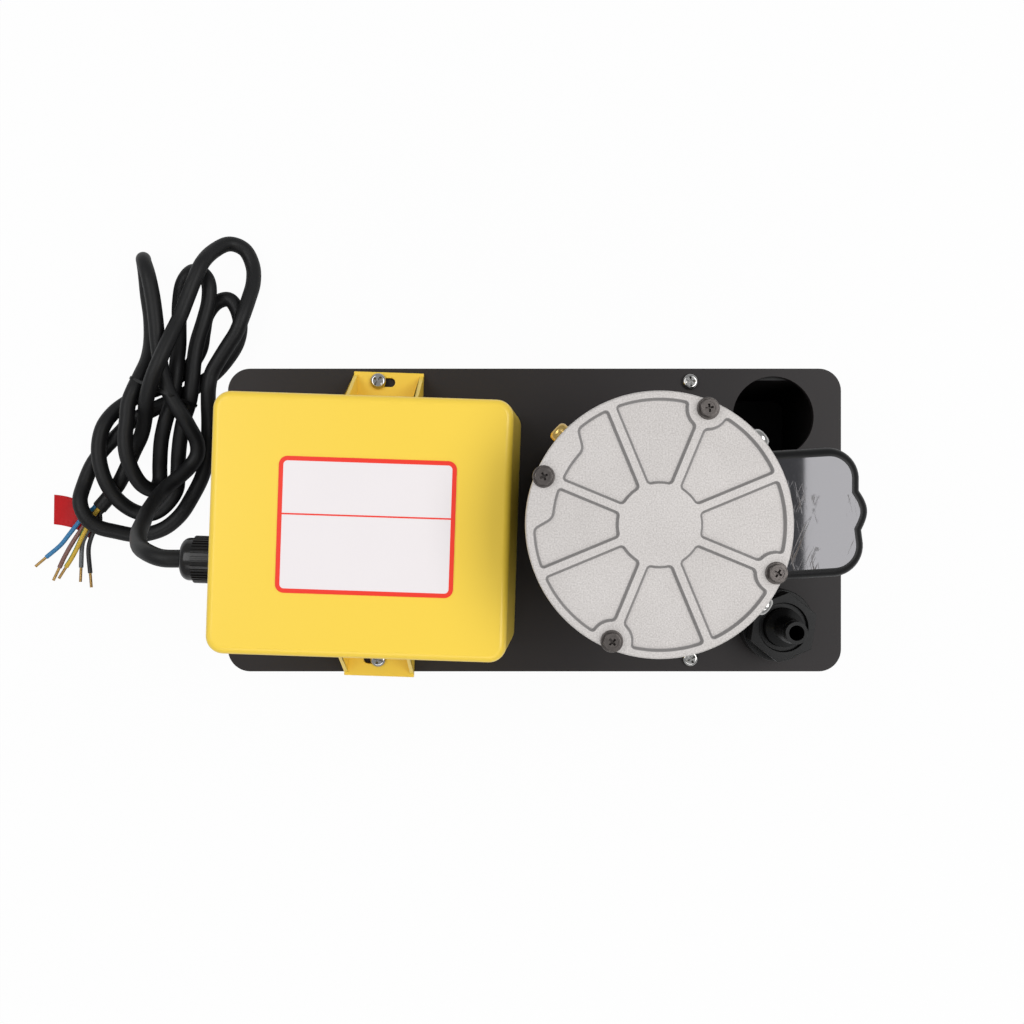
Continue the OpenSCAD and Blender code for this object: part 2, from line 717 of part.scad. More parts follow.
// Straight round bar between two points
module bar(from, to, r) {
    run = to - from;
    translate(from) rotate([0, acos(run.z / norm(run)), atan2(run.y, run.x)])
        cylinder(r = r, h = norm(run));
}

module at_motor(z = 0) translate([motor_x, motor_y, z]) children();
module at_outlet(z = 0) translate([outlet_x, outlet_y, z]) children();
module at_box(z = 0) translate([box_x, box_y, tank_h + z]) rotate(box_turn) children();
module at_rod(z = 0) translate([rod_x, rod_y, z]) children();
module round_pattern(count, r, first = 0)
    for (i = [0 : count - 1]) rotate(first + i * 360 / count) translate([r, 0, 0]) children();
// Places children on a cylinder's wall, pointing outwards
module on_wall(angle, r, z) rotate(angle) translate([r, 0, z]) rotate([0, 90, 0]) children();
module at_lid_screws() for (x = [-1, 1], y = [-1, 1])
    translate([x * lid_screw_x, y * lid_screw_y, 0]) children();

// Block whose sides lean in towards the floor
module tub_block(inset, z0, z1) hull() {
    $fn = hull_fn;
    lean = tank_draft * (tank_top - z0) / tank_top;
    translate([0, 0, z0]) linear_extrude(thin)
        round_rect(rim_size - 2 * [lean + inset, lean + inset], rim_corner_r - inset);
    translate([0, 0, z1 - thin]) linear_extrude(thin)
        round_rect(rim_size - 2 * [inset, inset], rim_corner_r - inset);
}

module tank() color("#2f2c2b") difference() {
    union() {
        linear_extrude(foot_plate_t)
            round_rect(rim_size - 2 * [tank_draft, tank_draft], rim_corner_r);
        difference() {
            tub_block(0, foot_plate_t, tank_top);
            tub_block(tank_wall, tank_wall, tank_top + cut);
        }
        intersection() {
            tub_block(0, foot_plate_t, tank_top);
            at_lid_screws() translate([0, 0, tank_h - lid_screw_l - boss_more])
                cylinder(r = boss_r, h = lid_screw_l + boss_more);
        }
    }
    at_lid_screws() translate([0, 0, tank_h - lid_screw_l]) cylinder(r = lid_screw_r + fit, h = lid_screw_l);
}

module lid_gasket() color("#1c1b1b") translate([0, 0, tank_top]) linear_extrude(gasket_t) difference() {
    union() {
        difference() {
            round_rect(rim_size, rim_corner_r);
            round_rect(rim_size - 2 * [tank_wall, tank_wall], rim_corner_r - tank_wall);
        }
        intersection() {
            at_lid_screws() circle(boss_r);
            round_rect(rim_size, rim_corner_r);
        }
    }
    at_lid_screws() circle(lid_screw_r + fit);
}

module tank_lid() color("#3e3a39") difference() {
    union() {
        translate([0, 0, lid_z]) linear_extrude(lid_t) round_rect([lid_l, lid_w], lid_corner_r);
        translate([0, 0, lid_z - skirt_h]) linear_extrude(skirt_h) difference() {
            round_rect([lid_l, lid_w], lid_corner_r);
            round_rect([lid_l, lid_w] - 2 * [skirt_t, skirt_t], lid_corner_r - skirt_t);
        }
    }
    translate([0, 0, lid_z - cut]) {
        translate([inlet_x, inlet_y, 0]) cylinder(r = inlet_r, h = lid_t + 2 * cut);
        at_lid_screws() cylinder(r = lid_screw_r + fit, h = lid_t + 2 * cut);
        at_outlet() cylinder(r = neck_r + fit, h = lid_t + 2 * cut);
        at_rod() cylinder(r = bush_r + fit, h = lid_t + 2 * cut);
        at_motor() cylinder(r = hub_nose_r + fit, h = lid_t + 2 * cut);
        at_motor() round_pattern(base_screw_count, base_screw_pitch_r)
            cylinder(r = base_screw_r + fit, h = lid_t + 2 * cut);
    }
}

module lid_screws() color("#c9c7c2") for (x = [-1, 1], y = [-1, 1])
    translate([x * lid_screw_x, y * lid_screw_y, tank_h + (x < 0 ? foot_t : 0)])
        pan_screw(lid_screw_r, lid_screw_l - foot_t, pan_head_r, pan_head_h);

module outlet_body() color("#343130") at_outlet() difference() {
    union() {
        translate([0, 0, neck_z]) cylinder(r = neck_r, h = neck_l);
        translate([0, 0, tank_h]) cylinder(r = collar_r, h = collar_h);
        translate([0, 0, collar_z]) cylinder(r = spigot_r, h = spigot_l);
    }
    translate([0, 0, neck_z - cut]) cylinder(r = riser_r + fit, h = pipe_socket + cut);
    translate([0, 0, neck_z]) cylinder(r = riser_bore_r, h = neck_l);
    translate([0, 0, seat_z]) cylinder(r = ball_r + ball_room, h = collar_z + spigot_l - seat_z + cut);
}

module outlet_locknut() color("#343130") at_outlet(lid_z - locknut_t) difference() {
    cylinder(r = locknut_r, h = locknut_t, $fn = 8);
    translate([0, 0, -cut]) cylinder(r = neck_r + fit, h = locknut_t + 2 * cut);
}

module union_nut() color("#343130") at_outlet(collar_z) difference() {
    rotate(union_turn) hex_bar(union_af, union_h);
    translate([0, 0, -cut]) cylinder(r = spigot_r + fit, h = union_cavity_h + cut);
    cylinder(r = shoulder_r + fit, h = union_h);
    translate([0, 0, union_h - union_recess_h]) cylinder(r = union_recess_r, h = union_recess_h + cut);
}

module tail_seal() color("#181818") at_outlet(collar_z + spigot_l)
    ring(tail_flange_r, ball_r - ball_room / 2, tail_seal_t);

module hose_tail() color("#3a3736") at_outlet() difference() {
    union() {
        translate([0, 0, shoulder_z - tail_flange_t]) cylinder(r = tail_flange_r, h = tail_flange_t);
        translate([0, 0, shoulder_z]) cylinder(r = shoulder_r, h = shoulder_h);
        translate([0, 0, shoulder_z + shoulder_h])
            cylinder(r1 = shoulder_r, r2 = tail_r + barb_out, h = tail_cone_l);
        translate([0, 0, shoulder_z]) cylinder(r = tail_r - root_drop, h = tail_tip_z - shoulder_z);
        translate([0, 0, tail_tip_z - tail_tip_l]) cylinder(r = tail_r, h = tail_tip_l);
        for (i = [0 : barb_count - 1]) translate([0, 0, barb_z + i * barb_pitch])
            cylinder(r1 = tail_r + barb_out, r2 = tail_r, h = barb_l);
    }
    translate([0, 0, shoulder_z - tail_flange_t - cut])
        cylinder(r = tail_bore_r, h = tail_tip_z - shoulder_z + tail_flange_t + 2 * cut);
}

module check_ball() color("#8c8c8c") at_outlet(ball_z) sphere(ball_r);

module riser_pipe() color("#4a4a48") at_outlet(socket_z)
    ring(riser_r, riser_bore_r, neck_z + pipe_socket - socket_z);

// Pipe from the pump chamber to the foot of the riser
module throat(r) at_motor(throat_z) rotate(throat_turn) translate([0, -throat_offset, 0])
    rotate([0, 90, 0]) cylinder(r = r, h = throat_l);

module volute_casing() color("#3b3b3d") difference() {
    union() {
        at_motor(chamber_z) cylinder(r = volute_r, h = volute_z - chamber_z);
        throat(riser_bore_r + pipe_wall);
        at_outlet(throat_z - riser_bore_r - pipe_wall)
            cylinder(r = socket_r, h = socket_z + socket_l - throat_z + riser_bore_r + pipe_wall);
    }
    at_motor(chamber_z - cut) cylinder(r = chamber_r, h = chamber_h + cut);
    at_motor(chamber_z) cylinder(r = shaft_r + shaft_room, h = volute_z);
    throat(riser_bore_r);
    at_outlet(throat_z - riser_bore_r) cylinder(r = elbow_r, h = socket_z);
    at_outlet(socket_z) cylinder(r = riser_r + fit, h = socket_l + cut);
    at_motor(chamber_z) round_pattern(pump_screw_count, pump_screw_pitch_r, 45)
        cylinder(r = pump_screw_r + fit, h = volute_z);
    at_motor(chamber_z - cut) round_pattern(pump_screw_count, strainer_screw_pitch_r)
        cylinder(r = strainer_screw_r + fit, h = strainer_screw_l - strainer_t + cut);
}

module suction_strainer() color("#2f3032") at_motor() difference() {
    union() {
        translate([0, 0, strainer_plate_z]) cylinder(r = volute_r, h = strainer_t);
        translate([0, 0, strainer_z]) ring(volute_r, volute_r - strainer_skirt_t, strainer_h);
    }
    cylinder(r = eye_r, h = chamber_z + cut);
    round_pattern(pump_screw_count, strainer_screw_pitch_r)
        cylinder(r = strainer_screw_r + fit, h = volute_z);
    round_pattern(strainer_slots, volute_r)
        translate([-strainer_skirt_t - cut, -strainer_slot_w / 2, strainer_z - cut])
            cube([strainer_skirt_t + 2 * cut, strainer_slot_w, strainer_h - strainer_skirt_t + cut]);
}

module pump_screws() color("#b9b6b0") at_motor() {
    round_pattern(pump_screw_count, pump_screw_pitch_r, 45) translate([0, 0, volute_z + column_foot_t])
        pan_screw(pump_screw_r, column_foot_t + volute_top_t, pump_head_r, pump_head_h);
    round_pattern(pump_screw_count, strainer_screw_pitch_r) translate([0, 0, strainer_plate_z])
        rotate([180, 0, 0])
            pan_screw(strainer_screw_r, strainer_screw_l, strainer_head_r, strainer_head_h);
}

module impeller() color("#c8b57a") at_motor(impeller_z) difference() {
    union() {
        cylinder(r = impeller_hub_r, h = impeller_h);
        translate([0, 0, impeller_h - impeller_plate_t]) cylinder(r = impeller_r, h = impeller_plate_t);
        linear_extrude(impeller_h - impeller_plate_t / 2) for (i = [0 : vane_count - 1])
            rotate(i * 360 / vane_count) intersection() {
                circle(impeller_r - vane_edge);
                translate([vane_bend_share * impeller_r, 0]) difference() {
                    circle(vane_bend_share * impeller_r);
                    circle(vane_bend_share * impeller_r - vane_t);
                    translate([-impeller_r, -2 * impeller_r]) square(2 * impeller_r);
                }
            }
    }
    translate([0, 0, -cut]) cylinder(r = shaft_r, h = impeller_h + 2 * cut);
}

module impeller_nut() color("#b9b6b0") at_motor(impeller_z - impeller_nut_h) difference() {
    hex_bar(impeller_nut_af, impeller_nut_h);
    translate([0, 0, -cut]) cylinder(r = stud_r, h = impeller_nut_h + 2 * cut);
}

module pump_shaft() color("#d0d0d0") at_motor() {
    translate([0, 0, impeller_z]) cylinder(r = shaft_r, h = upper_bearing_z + bearing_w - impeller_z);
    translate([0, 0, impeller_z - stud_l]) cylinder(r = stud_r, h = stud_l);
}

module pump_column() color("#3b3b3d") at_motor() difference() {
    union() {
        translate([0, 0, volute_z]) cylinder(r = column_r, h = lid_z - volute_z);
        translate([0, 0, volute_z]) cylinder(r = column_foot_r, h = column_foot_t);
        translate([0, 0, lid_z - column_flange_t]) cylinder(r = column_flange_r, h = column_flange_t);
    }
    translate([0, 0, volute_z - cut]) cylinder(r = column_r - column_wall, h = lid_z - volute_z + 2 * cut);
    round_pattern(pump_screw_count, pump_screw_pitch_r, 45)
        cylinder(r = pump_screw_r + fit, h = lid_z - 2 * cut - column_flange_t);
    round_pattern(base_screw_count, base_screw_pitch_r)
        translate([0, 0, lid_z - column_flange_t - cut])
            cylinder(r = base_screw_r + fit, h = column_flange_t + 2 * cut);
    for (i = [0 : weep_count - 1]) on_wall(i * 360 / weep_count, 0, volute_z + column_foot_t + 2 * weep_r)
        cylinder(r = weep_r, h = 2 * column_r);
}

module shaft_seal() color("#26211f") at_motor(tank_h - hub_nose_l) ring(seal_r, shaft_r + seal_lip, seal_t);

module motor_base() color("#2b2a2a") at_motor() difference() {
    union() {
        translate([0, 0, tank_h]) cylinder(r = shell_r, h = base_t);
        translate([0, 0, shell_z]) ring(stator_r, stator_r - spigot_t, spigot_h);
        translate([0, 0, tank_h]) cylinder(r = base_hub_r, h = bearing_web + bearing_w);
        translate([0, 0, tank_h - hub_nose_l]) cylinder(r = hub_nose_r, h = hub_nose_l);
    }
    translate([0, 0, lower_bearing_z]) cylinder(r = bearing_r, h = 2 * base_t);
    translate([0, 0, tank_h - hub_nose_l - cut]) cylinder(r = seal_r, h = seal_t + cut);
    translate([0, 0, tank_h - hub_nose_l]) cylinder(r = shaft_r + 4 * shaft_room, h = 2 * hub_nose_l);
    round_pattern(base_screw_count, base_screw_pitch_r)
        translate([0, 0, tank_h - cut]) cylinder(r = base_screw_r + fit, h = base_screw_bite + cut);
    for (angle = shell_screw_angles) on_wall(angle, stator_r - shell_screw_l, shell_z + shell_screw_lift)
        cylinder(r = shell_screw_r + fit, h = 2 * shell_screw_l);
}

module base_screws() color("#b9b6b0") at_motor(lid_z - column_flange_t)
    round_pattern(base_screw_count, base_screw_pitch_r) rotate([180, 0, 0])
        pan_screw(base_screw_r, column_flange_t + lid_t + base_screw_bite, base_head_r, base_head_h);

module motor_shell() color("#1b1b1c") at_motor() difference() {
    union() {
        translate([0, 0, shell_z]) cylinder(r = shell_r, h = shell_h);
        translate([0, 0, shell_top - shell_flange_t])
            cylinder(r = shell_r + shell_flange_out, h = shell_flange_t);
    }
    translate([0, 0, shell_z - cut])
        cylinder(r = shell_r - shell_wall, h = shell_h - shell_flange_t + cut);
    translate([0, 0, shell_z]) cylinder(r = fan_r + 2, h = shell_h + cut);
    round_pattern(cap_screw_count, cap_screw_pitch_r, cap_screw_first)
        translate([0, 0, shell_top - shell_flange_t]) cylinder(r = cap_screw_r + fit, h = 2 * shell_flange_t);
    for (angle = shell_screw_angles) on_wall(angle, shell_r - shell_screw_l, shell_z + shell_screw_lift)
        cylinder(r = shell_screw_r + fit, h = 2 * shell_screw_l);
    for (angle = band_screw_angles)
        on_wall(cover_turn + angle, shell_r - shell_screw_l, shell_top - band_screw_drop)
            cylinder(r = shell_screw_r + fit, h = 2 * shell_screw_l);
}

module shell_screws() color("#b9b6b0") at_motor() {
    for (angle = shell_screw_angles) on_wall(angle, shell_r, shell_z + shell_screw_lift)
        pan_screw(shell_screw_r, shell_screw_l, shell_head_r, shell_head_h);
    for (angle = band_screw_angles) on_wall(cover_turn + angle, band_r, shell_top - band_screw_drop)
        pan_screw(shell_screw_r, shell_screw_l, shell_head_r, shell_head_h);
}

module stator_core() color("#7d7f82") at_motor(stator_z) difference() {
    ring(stator_r, stator_bore_r, stator_h);
    round_pattern(stator_slots, slot_pitch_r) translate([0, 0, -cut])
        cylinder(r = slot_r, h = stator_h + 2 * cut);
}

module stator_windings() color("#a5562b") at_motor() for (z = [stator_z - winding_h, stator_z + stator_h])
    translate([0, 0, z]) rotate_extrude()
        translate([(winding_inner_r + winding_r) / 2, winding_h / 2])
            round_rect([winding_r - winding_inner_r, winding_h], winding_corner);

module rotor_core() color("#8f9194") at_motor(stator_z) difference() {
    union() {
        cylinder(r = rotor_r, h = stator_h);
        translate([0, 0, -rotor_end]) cylinder(r = rotor_end_r, h = stator_h + 2 * rotor_end);
    }
    translate([0, 0, -rotor_end - cut]) cylinder(r = shaft_r, h = stator_h + 2 * (rotor_end + cut));
}

module shaft_bearings() color("#c4c6c8") at_motor() for (z = [lower_bearing_z, upper_bearing_z])
    translate([0, 0, z]) difference() {
        ring(bearing_r, shaft_r + fit, bearing_w);
        translate([0, 0, bearing_w - fit * bearing_w]) ring(
            bearing_r - bearing_ring_share * (bearing_r - shaft_r),
            shaft_r + bearing_ring_share * (bearing_r - shaft_r), bearing_w);
    }

module cooling_fan() color("#2d2d2f") at_motor(fan_z) difference() {
    union() {
        cylinder(r = fan_hub_r, h = fan_h);
        cylinder(r = fan_r - fan_plate_t, h = fan_plate_t);
        round_pattern(fan_blades, fan_hub_r - fan_plate_t)
            translate([0, -fan_plate_t / 2, 0]) cube([fan_r - fan_hub_r, fan_plate_t, fan_h]);
    }
    translate([0, 0, -cut]) cylinder(r = shaft_r, h = fan_h + 2 * cut);
}

// Wedge between two directions, for cutting round shapes
module wedge(r, from, to) polygon([[0, 0], 2 * r * [cos(from), sin(from)], 2 * r * [cos(to), sin(to)]]);

module cap_pockets() difference() {
    circle(pocket_r);
    circle(cap_hub_r);
    for (i = [0 : rib_count - 1]) rotate(cap_screw_first + i * 360 / rib_count)
        translate([0, -rib_w / 2]) square([cap_r, rib_w]);
    round_pattern(cap_screw_count, cap_screw_pitch_r, cap_screw_first) circle(cap_pad_r);
    difference() {
        wedge(cap_r, pad_from, pad_to);
        circle(pad_inner_r);
    }
}

module end_cap() color("#cfcac5") at_motor() difference() {
    union() {
        translate([0, 0, shell_top]) ring(cap_r, cap_r - cap_skirt_t, cap_h - cap_top_t / 2);
        translate([0, 0, cap_z - cap_top_t]) cylinder(r = cap_r, h = cap_top_t);
        translate([0, 0, shell_top + hub_wall / 2]) cylinder(r = bearing_r + hub_wall, h = cap_h - hub_wall);
        intersection() {
            translate([0, 0, shell_top]) cylinder(r = cap_r, h = cap_h);
            translate([0, 0, shell_top]) round_pattern(cap_screw_count, cap_screw_pitch_r, cap_screw_first)
                cylinder(r = cap_boss_r, h = cap_h);
        }
    }
    translate([0, 0, shell_top]) cylinder(r = bearing_r, h = upper_bearing_z + bearing_w - shell_top);
    translate([0, 0, cap_z - pocket_d]) linear_extrude(pocket_d + cut) cap_pockets();
    round_pattern(cap_screw_count, cap_screw_pitch_r, cap_screw_first)
        translate([0, 0, shell_top - cut]) cylinder(r = cap_screw_r + fit, h = cap_h + 2 * cut);
    for (angle = concat(rim_screw_angles, [earth_angle]))
        on_wall(angle, cap_r - cap_skirt_t - cut, cap_z - rim_screw_drop)
            cylinder(r = rim_screw_r + fit, h = cap_skirt_t + 2 * cut);
}

module end_cap_screws() color("#8d8579") at_motor(cap_z)
    round_pattern(cap_screw_count, cap_screw_pitch_r, cap_screw_first) {
        translate([0, 0, -cap_screw_l]) cylinder(r = cap_screw_r, h = cap_screw_l + cap_washer_t);
        cylinder(r = cap_washer_r, h = cap_washer_t);
        difference() {
            hex_bar(cap_head_af, cap_head_h + cap_washer_t);
            translate([0, 0, cap_washer_t]) cross_recess(cap_head_af / 2, cap_head_h);
        }
    }

module rim_screws() color("#c9c7c2") at_motor() for (angle = rim_screw_angles)
    on_wall(angle, cap_r, cap_z - rim_screw_drop)
        pan_screw(rim_screw_r, rim_screw_l, rim_head_r, rim_head_h);

module earth_screw() color("#b08d3c") at_motor() on_wall(earth_angle, cap_r, cap_z - rim_screw_drop)
    pan_screw(rim_screw_r, rim_screw_l, rim_head_r, rim_head_h);

// Outline of the capacitor cover, drawn in by inset
module cover_outline(inset) difference() {
    union() {
        translate([(cover_inner_x + cover_reach) / 2, 0]) round_rect(
            [cover_reach - cover_inner_x - 2 * inset, cover_w - 2 * inset], cover_corner_r - inset);
        translate([cover_reach - cover_corner_r, -cover_bump_w / 2 + inset])
            square([cover_corner_r + cover_bump - inset, cover_bump_w - 2 * inset]);
    }
    circle(band_r + gap + max(inset, 0));
}

// Foot of the cover, kept clear of what drops into the inlet hole
module cover_foot_outline() difference() {
    cover_outline(-cover_flange);
    rotate(-cover_turn) translate([inlet_x - motor_x, inlet_y - motor_y]) circle(inlet_r);
}

module capacitor_cover() color("#232323") at_motor(cover_z) rotate(cover_turn) difference() {
    union() {
        linear_extrude(cover_h) cover_outline(0);
        linear_extrude(cover_flange_h) cover_foot_outline();
    }
    translate([0, 0, -cut]) linear_extrude(cover_h - cover_wall + cut) cover_outline(cover_wall);
}

module capacitor_bracket() color("#9a9a98") at_motor() rotate(cover_turn) difference() {
    union() {
        translate([0, 0, cover_z - shelf_t - band_low]) intersection() {
            ring(band_r, shell_r, shell_top - shell_flange_t - gap - cover_z + shelf_t + band_low);
            translate([0, -cover_w / 2, 0]) cube([2 * shell_r, cover_w, shell_h]);
        }
        translate([0, 0, cover_z - shelf_t]) linear_extrude(shelf_t) difference() {
            union() {
                cover_foot_outline();
                translate([cover_inner_x, -cover_w / 2]) square([cover_reach / 2, cover_w]);
            }
            circle(shell_r + thin);
        }
    }
    for (angle = band_screw_angles) on_wall(angle, shell_r - cut, shell_top - band_screw_drop)
        cylinder(r = shell_screw_r + fit, h = band_t + 2 * cut);
}

module capacitor() color("#b8bcc0") at_motor(cover_z) rotate(cover_turn) translate([capacitor_x, 0, 0]) {
    cylinder(r = capacitor_r, h = capacitor_l);
    for (x = [-1, 1])
        translate([x * capacitor_tag_step - capacitor_tag.y / 2, -capacitor_tag.x / 2, capacitor_l])
            cube([capacitor_tag.y, capacitor_tag.x, capacitor_tag.z]);
}

// Level slice of the switch cover, drawn in by inset
module box_slab(z, inset) translate([0, 0, z]) linear_extrude(thin) round_rect(
    [box_l - 2 * (box_draft_l * z / box_h + inset), box_w - 2 * (box_draft_w * z / box_h + inset)],
    box_corner_r - min(inset, box_wall));

// Place of a point of the lid in the cover's own frame
function in_box(p) = [
    (p.x - box_x) * cos(box_turn) + (p.y - box_y) * sin(box_turn),
    (p.y - box_y) * cos(box_turn) - (p.x - box_x) * sin(box_turn)];

module cover_feet() for (y = [-1, 1]) difference() {
    union() {
        translate([-foot_w / 2, y > 0 ? box_w / 2 - box_wall : -foot_span / 2, 0])
            cube([foot_w, (foot_span - box_w) / 2 + box_wall, foot_t]);
        for (x = [-foot_w / 2, foot_w / 2 - gusset_t]) mirror([0, y > 0 ? 0 : 1, 0])
            translate([x, 0, 0]) rotate([90, 0, 90]) linear_extrude(gusset_t) polygon([
                [box_w / 2 - box_wall, 0],
                [foot_span / 2 - gusset_edge, 0],
                [foot_span / 2 - gusset_edge, foot_t],
                [box_w / 2 - box_draft_w * gusset_h / box_h, gusset_h],
                [box_w / 2 - box_wall, gusset_t]]);
    }
    translate([slot_x, in_box([-lid_screw_x, y * lid_screw_y]).y, -cut])
        linear_extrude(foot_t + 2 * cut) round_rect([slot_l, slot_w], slot_w / 2 - thin);
}

module switch_cover() color("#f2c93f") at_box() difference() {
    union() {
        hull() {
            $fn = hull_fn;
            box_slab(0, 0);
            for (a = box_edge_steps)
                box_slab(box_h - box_edge_r * (1 - sin(a)) - thin, box_edge_r * (1 - cos(a)));
        }
        cover_feet();
    }
    hull() {
        $fn = hull_fn;
        box_slab(-cut, box_wall);
        box_slab(box_h - box_wall, box_wall);
    }
    translate([-box_l, gland_y, gland_lift]) rotate([0, 90, 0]) cylinder(r = gland_thread_r + fit, h = box_l);
}

// Blank panel with a raised border and one dividing line
module label_panel() at_box(box_h) translate([label_x, 0, 0]) {
    color("#f3ecea") linear_extrude(label_t) round_rect([label_l, label_w], label_corner_r);
    color("#f0402c") translate([0, 0, label_t]) linear_extrude(label_print_t) {
        difference() {
            round_rect([label_l, label_w], label_corner_r);
            round_rect([label_l, label_w] - 2 * [label_border, label_border], label_corner_r / 2);
        }
        translate([-label_l / 2 + label_border / 2, label_w * (0.5 - divider_share) - divider_t / 2])
            square([label_l - label_border, divider_t]);
    }
}

module at_gland() at_box() translate([-gland_x, gland_y, gland_lift]) rotate([0, -90, 0]) children();

module gland_body() color("#1d1d1e") at_gland() difference() {
    union() {
        cylinder(r = gland_seat_r, h = gland_seat_l);
        translate([0, 0, -gland_inner_l]) cylinder(r = gland_thread_r, h = gland_inner_l + gland_thread_l);
    }
    translate([0, 0, -gland_inner_l - cut])
        cylinder(r = gland_bore_r, h = gland_inner_l + gland_thread_l + 2 * cut);
    translate([0, 0, gland_thread_l - seal_sleeve_l])
        cylinder(r = seal_sleeve_r + fit, h = seal_sleeve_l + cut);
}

module gland_locknut() color("#1d1d1e") at_gland() translate([0, 0, -locknut_back - gland_locknut_t])
    difference() {
        cylinder(r = gland_locknut_r, h = gland_locknut_t, $fn = 6);
        translate([0, 0, -cut]) cylinder(r = gland_thread_r + fit, h = gland_locknut_t + 2 * cut);
    }

module gland_seal() color("#3a3a3a") at_gland() translate([0, 0, gland_thread_l - seal_sleeve_l])
    ring(seal_sleeve_r, cable_r + fit, seal_sleeve_l);

module gland_nut() color("#1d1d1e") at_gland() difference() {
    union() {
        translate([0, 0, gland_seat_l]) cylinder(r = gland_collar_r - rib_r, h = gland_collar_l);
        translate([0, 0, gland_seat_l + rib_r / 2]) round_pattern(gland_ribs, gland_collar_r - 2 * rib_r)
            translate([0, -rib_r, 0]) cube([2 * rib_r, 2 * rib_r, gland_collar_l - rib_r]);
        translate([0, 0, gland_seat_l + gland_collar_l])
            cylinder(r1 = gland_nose_r, r2 = gland_tip_r, h = gland_nose_l);
    }
    translate([0, 0, gland_seat_l - cut])
        cylinder(r = gland_thread_r + fit, h = gland_thread_l - gland_seat_l + cut + gap);
    cylinder(r = cable_r + gap, h = gland_tip + cut);
}

module cable_entry() color("#232323") at_gland() translate([0, 0, -cable_inner_l])
    cylinder(r = cable_r, h = cable_inner_l + gland_tip);

module inner_cores() for (i = [0 : pole_count - 1]) color(core_colours[i]) at_box() bar(
    [-gland_x + cable_inner_l + core_r / 2,
        gland_y + core_ring_r * cos(core_angles[i]), gland_lift + core_ring_r * sin(core_angles[i])],
    [block_x, gland_y + (i - (pole_count - 1) / 2) * block_size.y, block_size.z + core_r], core_r);

module terminal_block() at_box() for (i = [0 : pole_count - 1])
    translate([block_x, gland_y + (i - (pole_count - 1) / 2) * block_size.y, 0]) {
        color("#e8e4da") translate([-block_size.x / 2, -block_size.y / 2, 0]) cube(block_size);
        color("#b9b6b0") translate([block_size.x / 3, 0, block_size.z])
            cylinder(r = terminal_r, h = terminal_screw_h);
    }

module switch_bracket() color("#a9aaac") difference() {
    union() {
        translate([pivot_x - cheek_front, rod_y - cheek_y - bracket_t, tank_h])
            cube([micro_l + cheek_front, 2 * (cheek_y + bracket_t), bracket_t]);
        for (y = [-cheek_y - bracket_t, cheek_y]) translate([pivot_x - cheek_front, rod_y + y, tank_h])
            cube([micro_l + cheek_front, bracket_t, pivot_z + cheek_more - tank_h]);
    }
    at_pivot() translate([0, 0, -cheek_y - 2 * bracket_t])
        cylinder(r = pin_r + fit, h = 2 * cheek_y + 4 * bracket_t);
    at_switch_pins() cylinder(r = switch_pin_r + fit, h = 2 * cheek_y + 4 * bracket_t, center = true);
}

// Lever axis, along +Y
module at_pivot() translate([pivot_x, rod_y, pivot_z]) rotate([-90, 0, 0]) children();
module at_switch_pins() for (i = [0, 1])
    translate([pivot_x + short_l + (i - 0.2) * switch_pin_step, rod_y, micro_z + switch_pin_lift])
        rotate([-90, 0, 0]) children();

module microswitches() color("#26282b") for (y = [-1, 1]) difference() {
    translate([pivot_x + short_l - micro_back, rod_y + (y - 1) / 2 * micro_w, micro_z])
        cube([micro_l - micro_back / 2, micro_w, micro_top - micro_z]);
    translate([pivot_x + short_l, rod_y + y * micro_w / 2, plunger_z - plunger_in - plunger_travel - cut])
        cylinder(r = plunger_r + fit, h = 2 * plunger_in);
    at_switch_pins() cylinder(r = switch_pin_r + fit, h = 4 * micro_w, center = true);
}

module switch_pins() color("#b9b6b0") at_switch_pins() {
    cylinder(r = switch_pin_r, h = 2 * (cheek_y + bracket_t), center = true);
    for (y = [-1, 1]) translate([0, 0, y * (cheek_y + bracket_t + pin_head / 2)])
        cylinder(r = 1.6 * switch_pin_r, h = pin_head, center = true);
}

module plunger(y) color("#c0392b")
    translate([pivot_x + short_l, rod_y + y * micro_w / 2, plunger_z - plunger_in])
        cylinder(r = plunger_r, h = plunger_in);
module run_plunger() plunger(-1);
module alarm_plunger() plunger(1);

module lever_pin() color("#c4c6c8") at_pivot() {
    translate([0, 0, -cheek_y - bracket_t]) cylinder(r = pin_r, h = 2 * (cheek_y + bracket_t));
    for (y = [-1, 1]) translate([0, 0, y * (cheek_y + bracket_t + pin_head / 2)])
        cylinder(r = 1.6 * pin_r, h = pin_head, center = true);
}

module at_lever() translate([pivot_x, rod_y, pivot_z]) rotate([0, -lever_tilt, 0]) children();

module switch_lever() color("#d9d6c8") at_lever() difference() {
    union() {
        translate([0, 0, -lever_t / 2]) linear_extrude(lever_t) polygon([
            [short_l + plunger_r + short_end, -lever_w / 2],
            [short_l + plunger_r + short_end, lever_w / 2],
            [-lever_hub_r, lever_w / 2],
            [-lever_l / 2, fork_w / 2],
            [-lever_l - fork_end, fork_w / 2],
            [-lever_l - fork_end, -fork_w / 2],
            [-lever_l / 2, -fork_w / 2],
            [-lever_hub_r, -lever_w / 2]]);
        rotate([90, 0, 0]) cylinder(r = lever_hub_r, h = lever_w, center = true);
    }
    rotate([90, 0, 0]) cylinder(r = pin_r + fit, h = 2 * lever_w, center = true);
    translate([-lever_l - fork_end - cut, -rod_r - rod_room, -lever_t])
        cube([fork_end + fork_slot + cut, 2 * (rod_r + rod_room), 2 * lever_t]);
}

module float_rod() color("#c4c6c8") at_rod(float_z - rod_collar_h - rod_tail)
    cylinder(r = rod_r, h = fork_z + fork_half + rod_collar_h + rod_head - float_z + rod_collar_h + rod_tail);

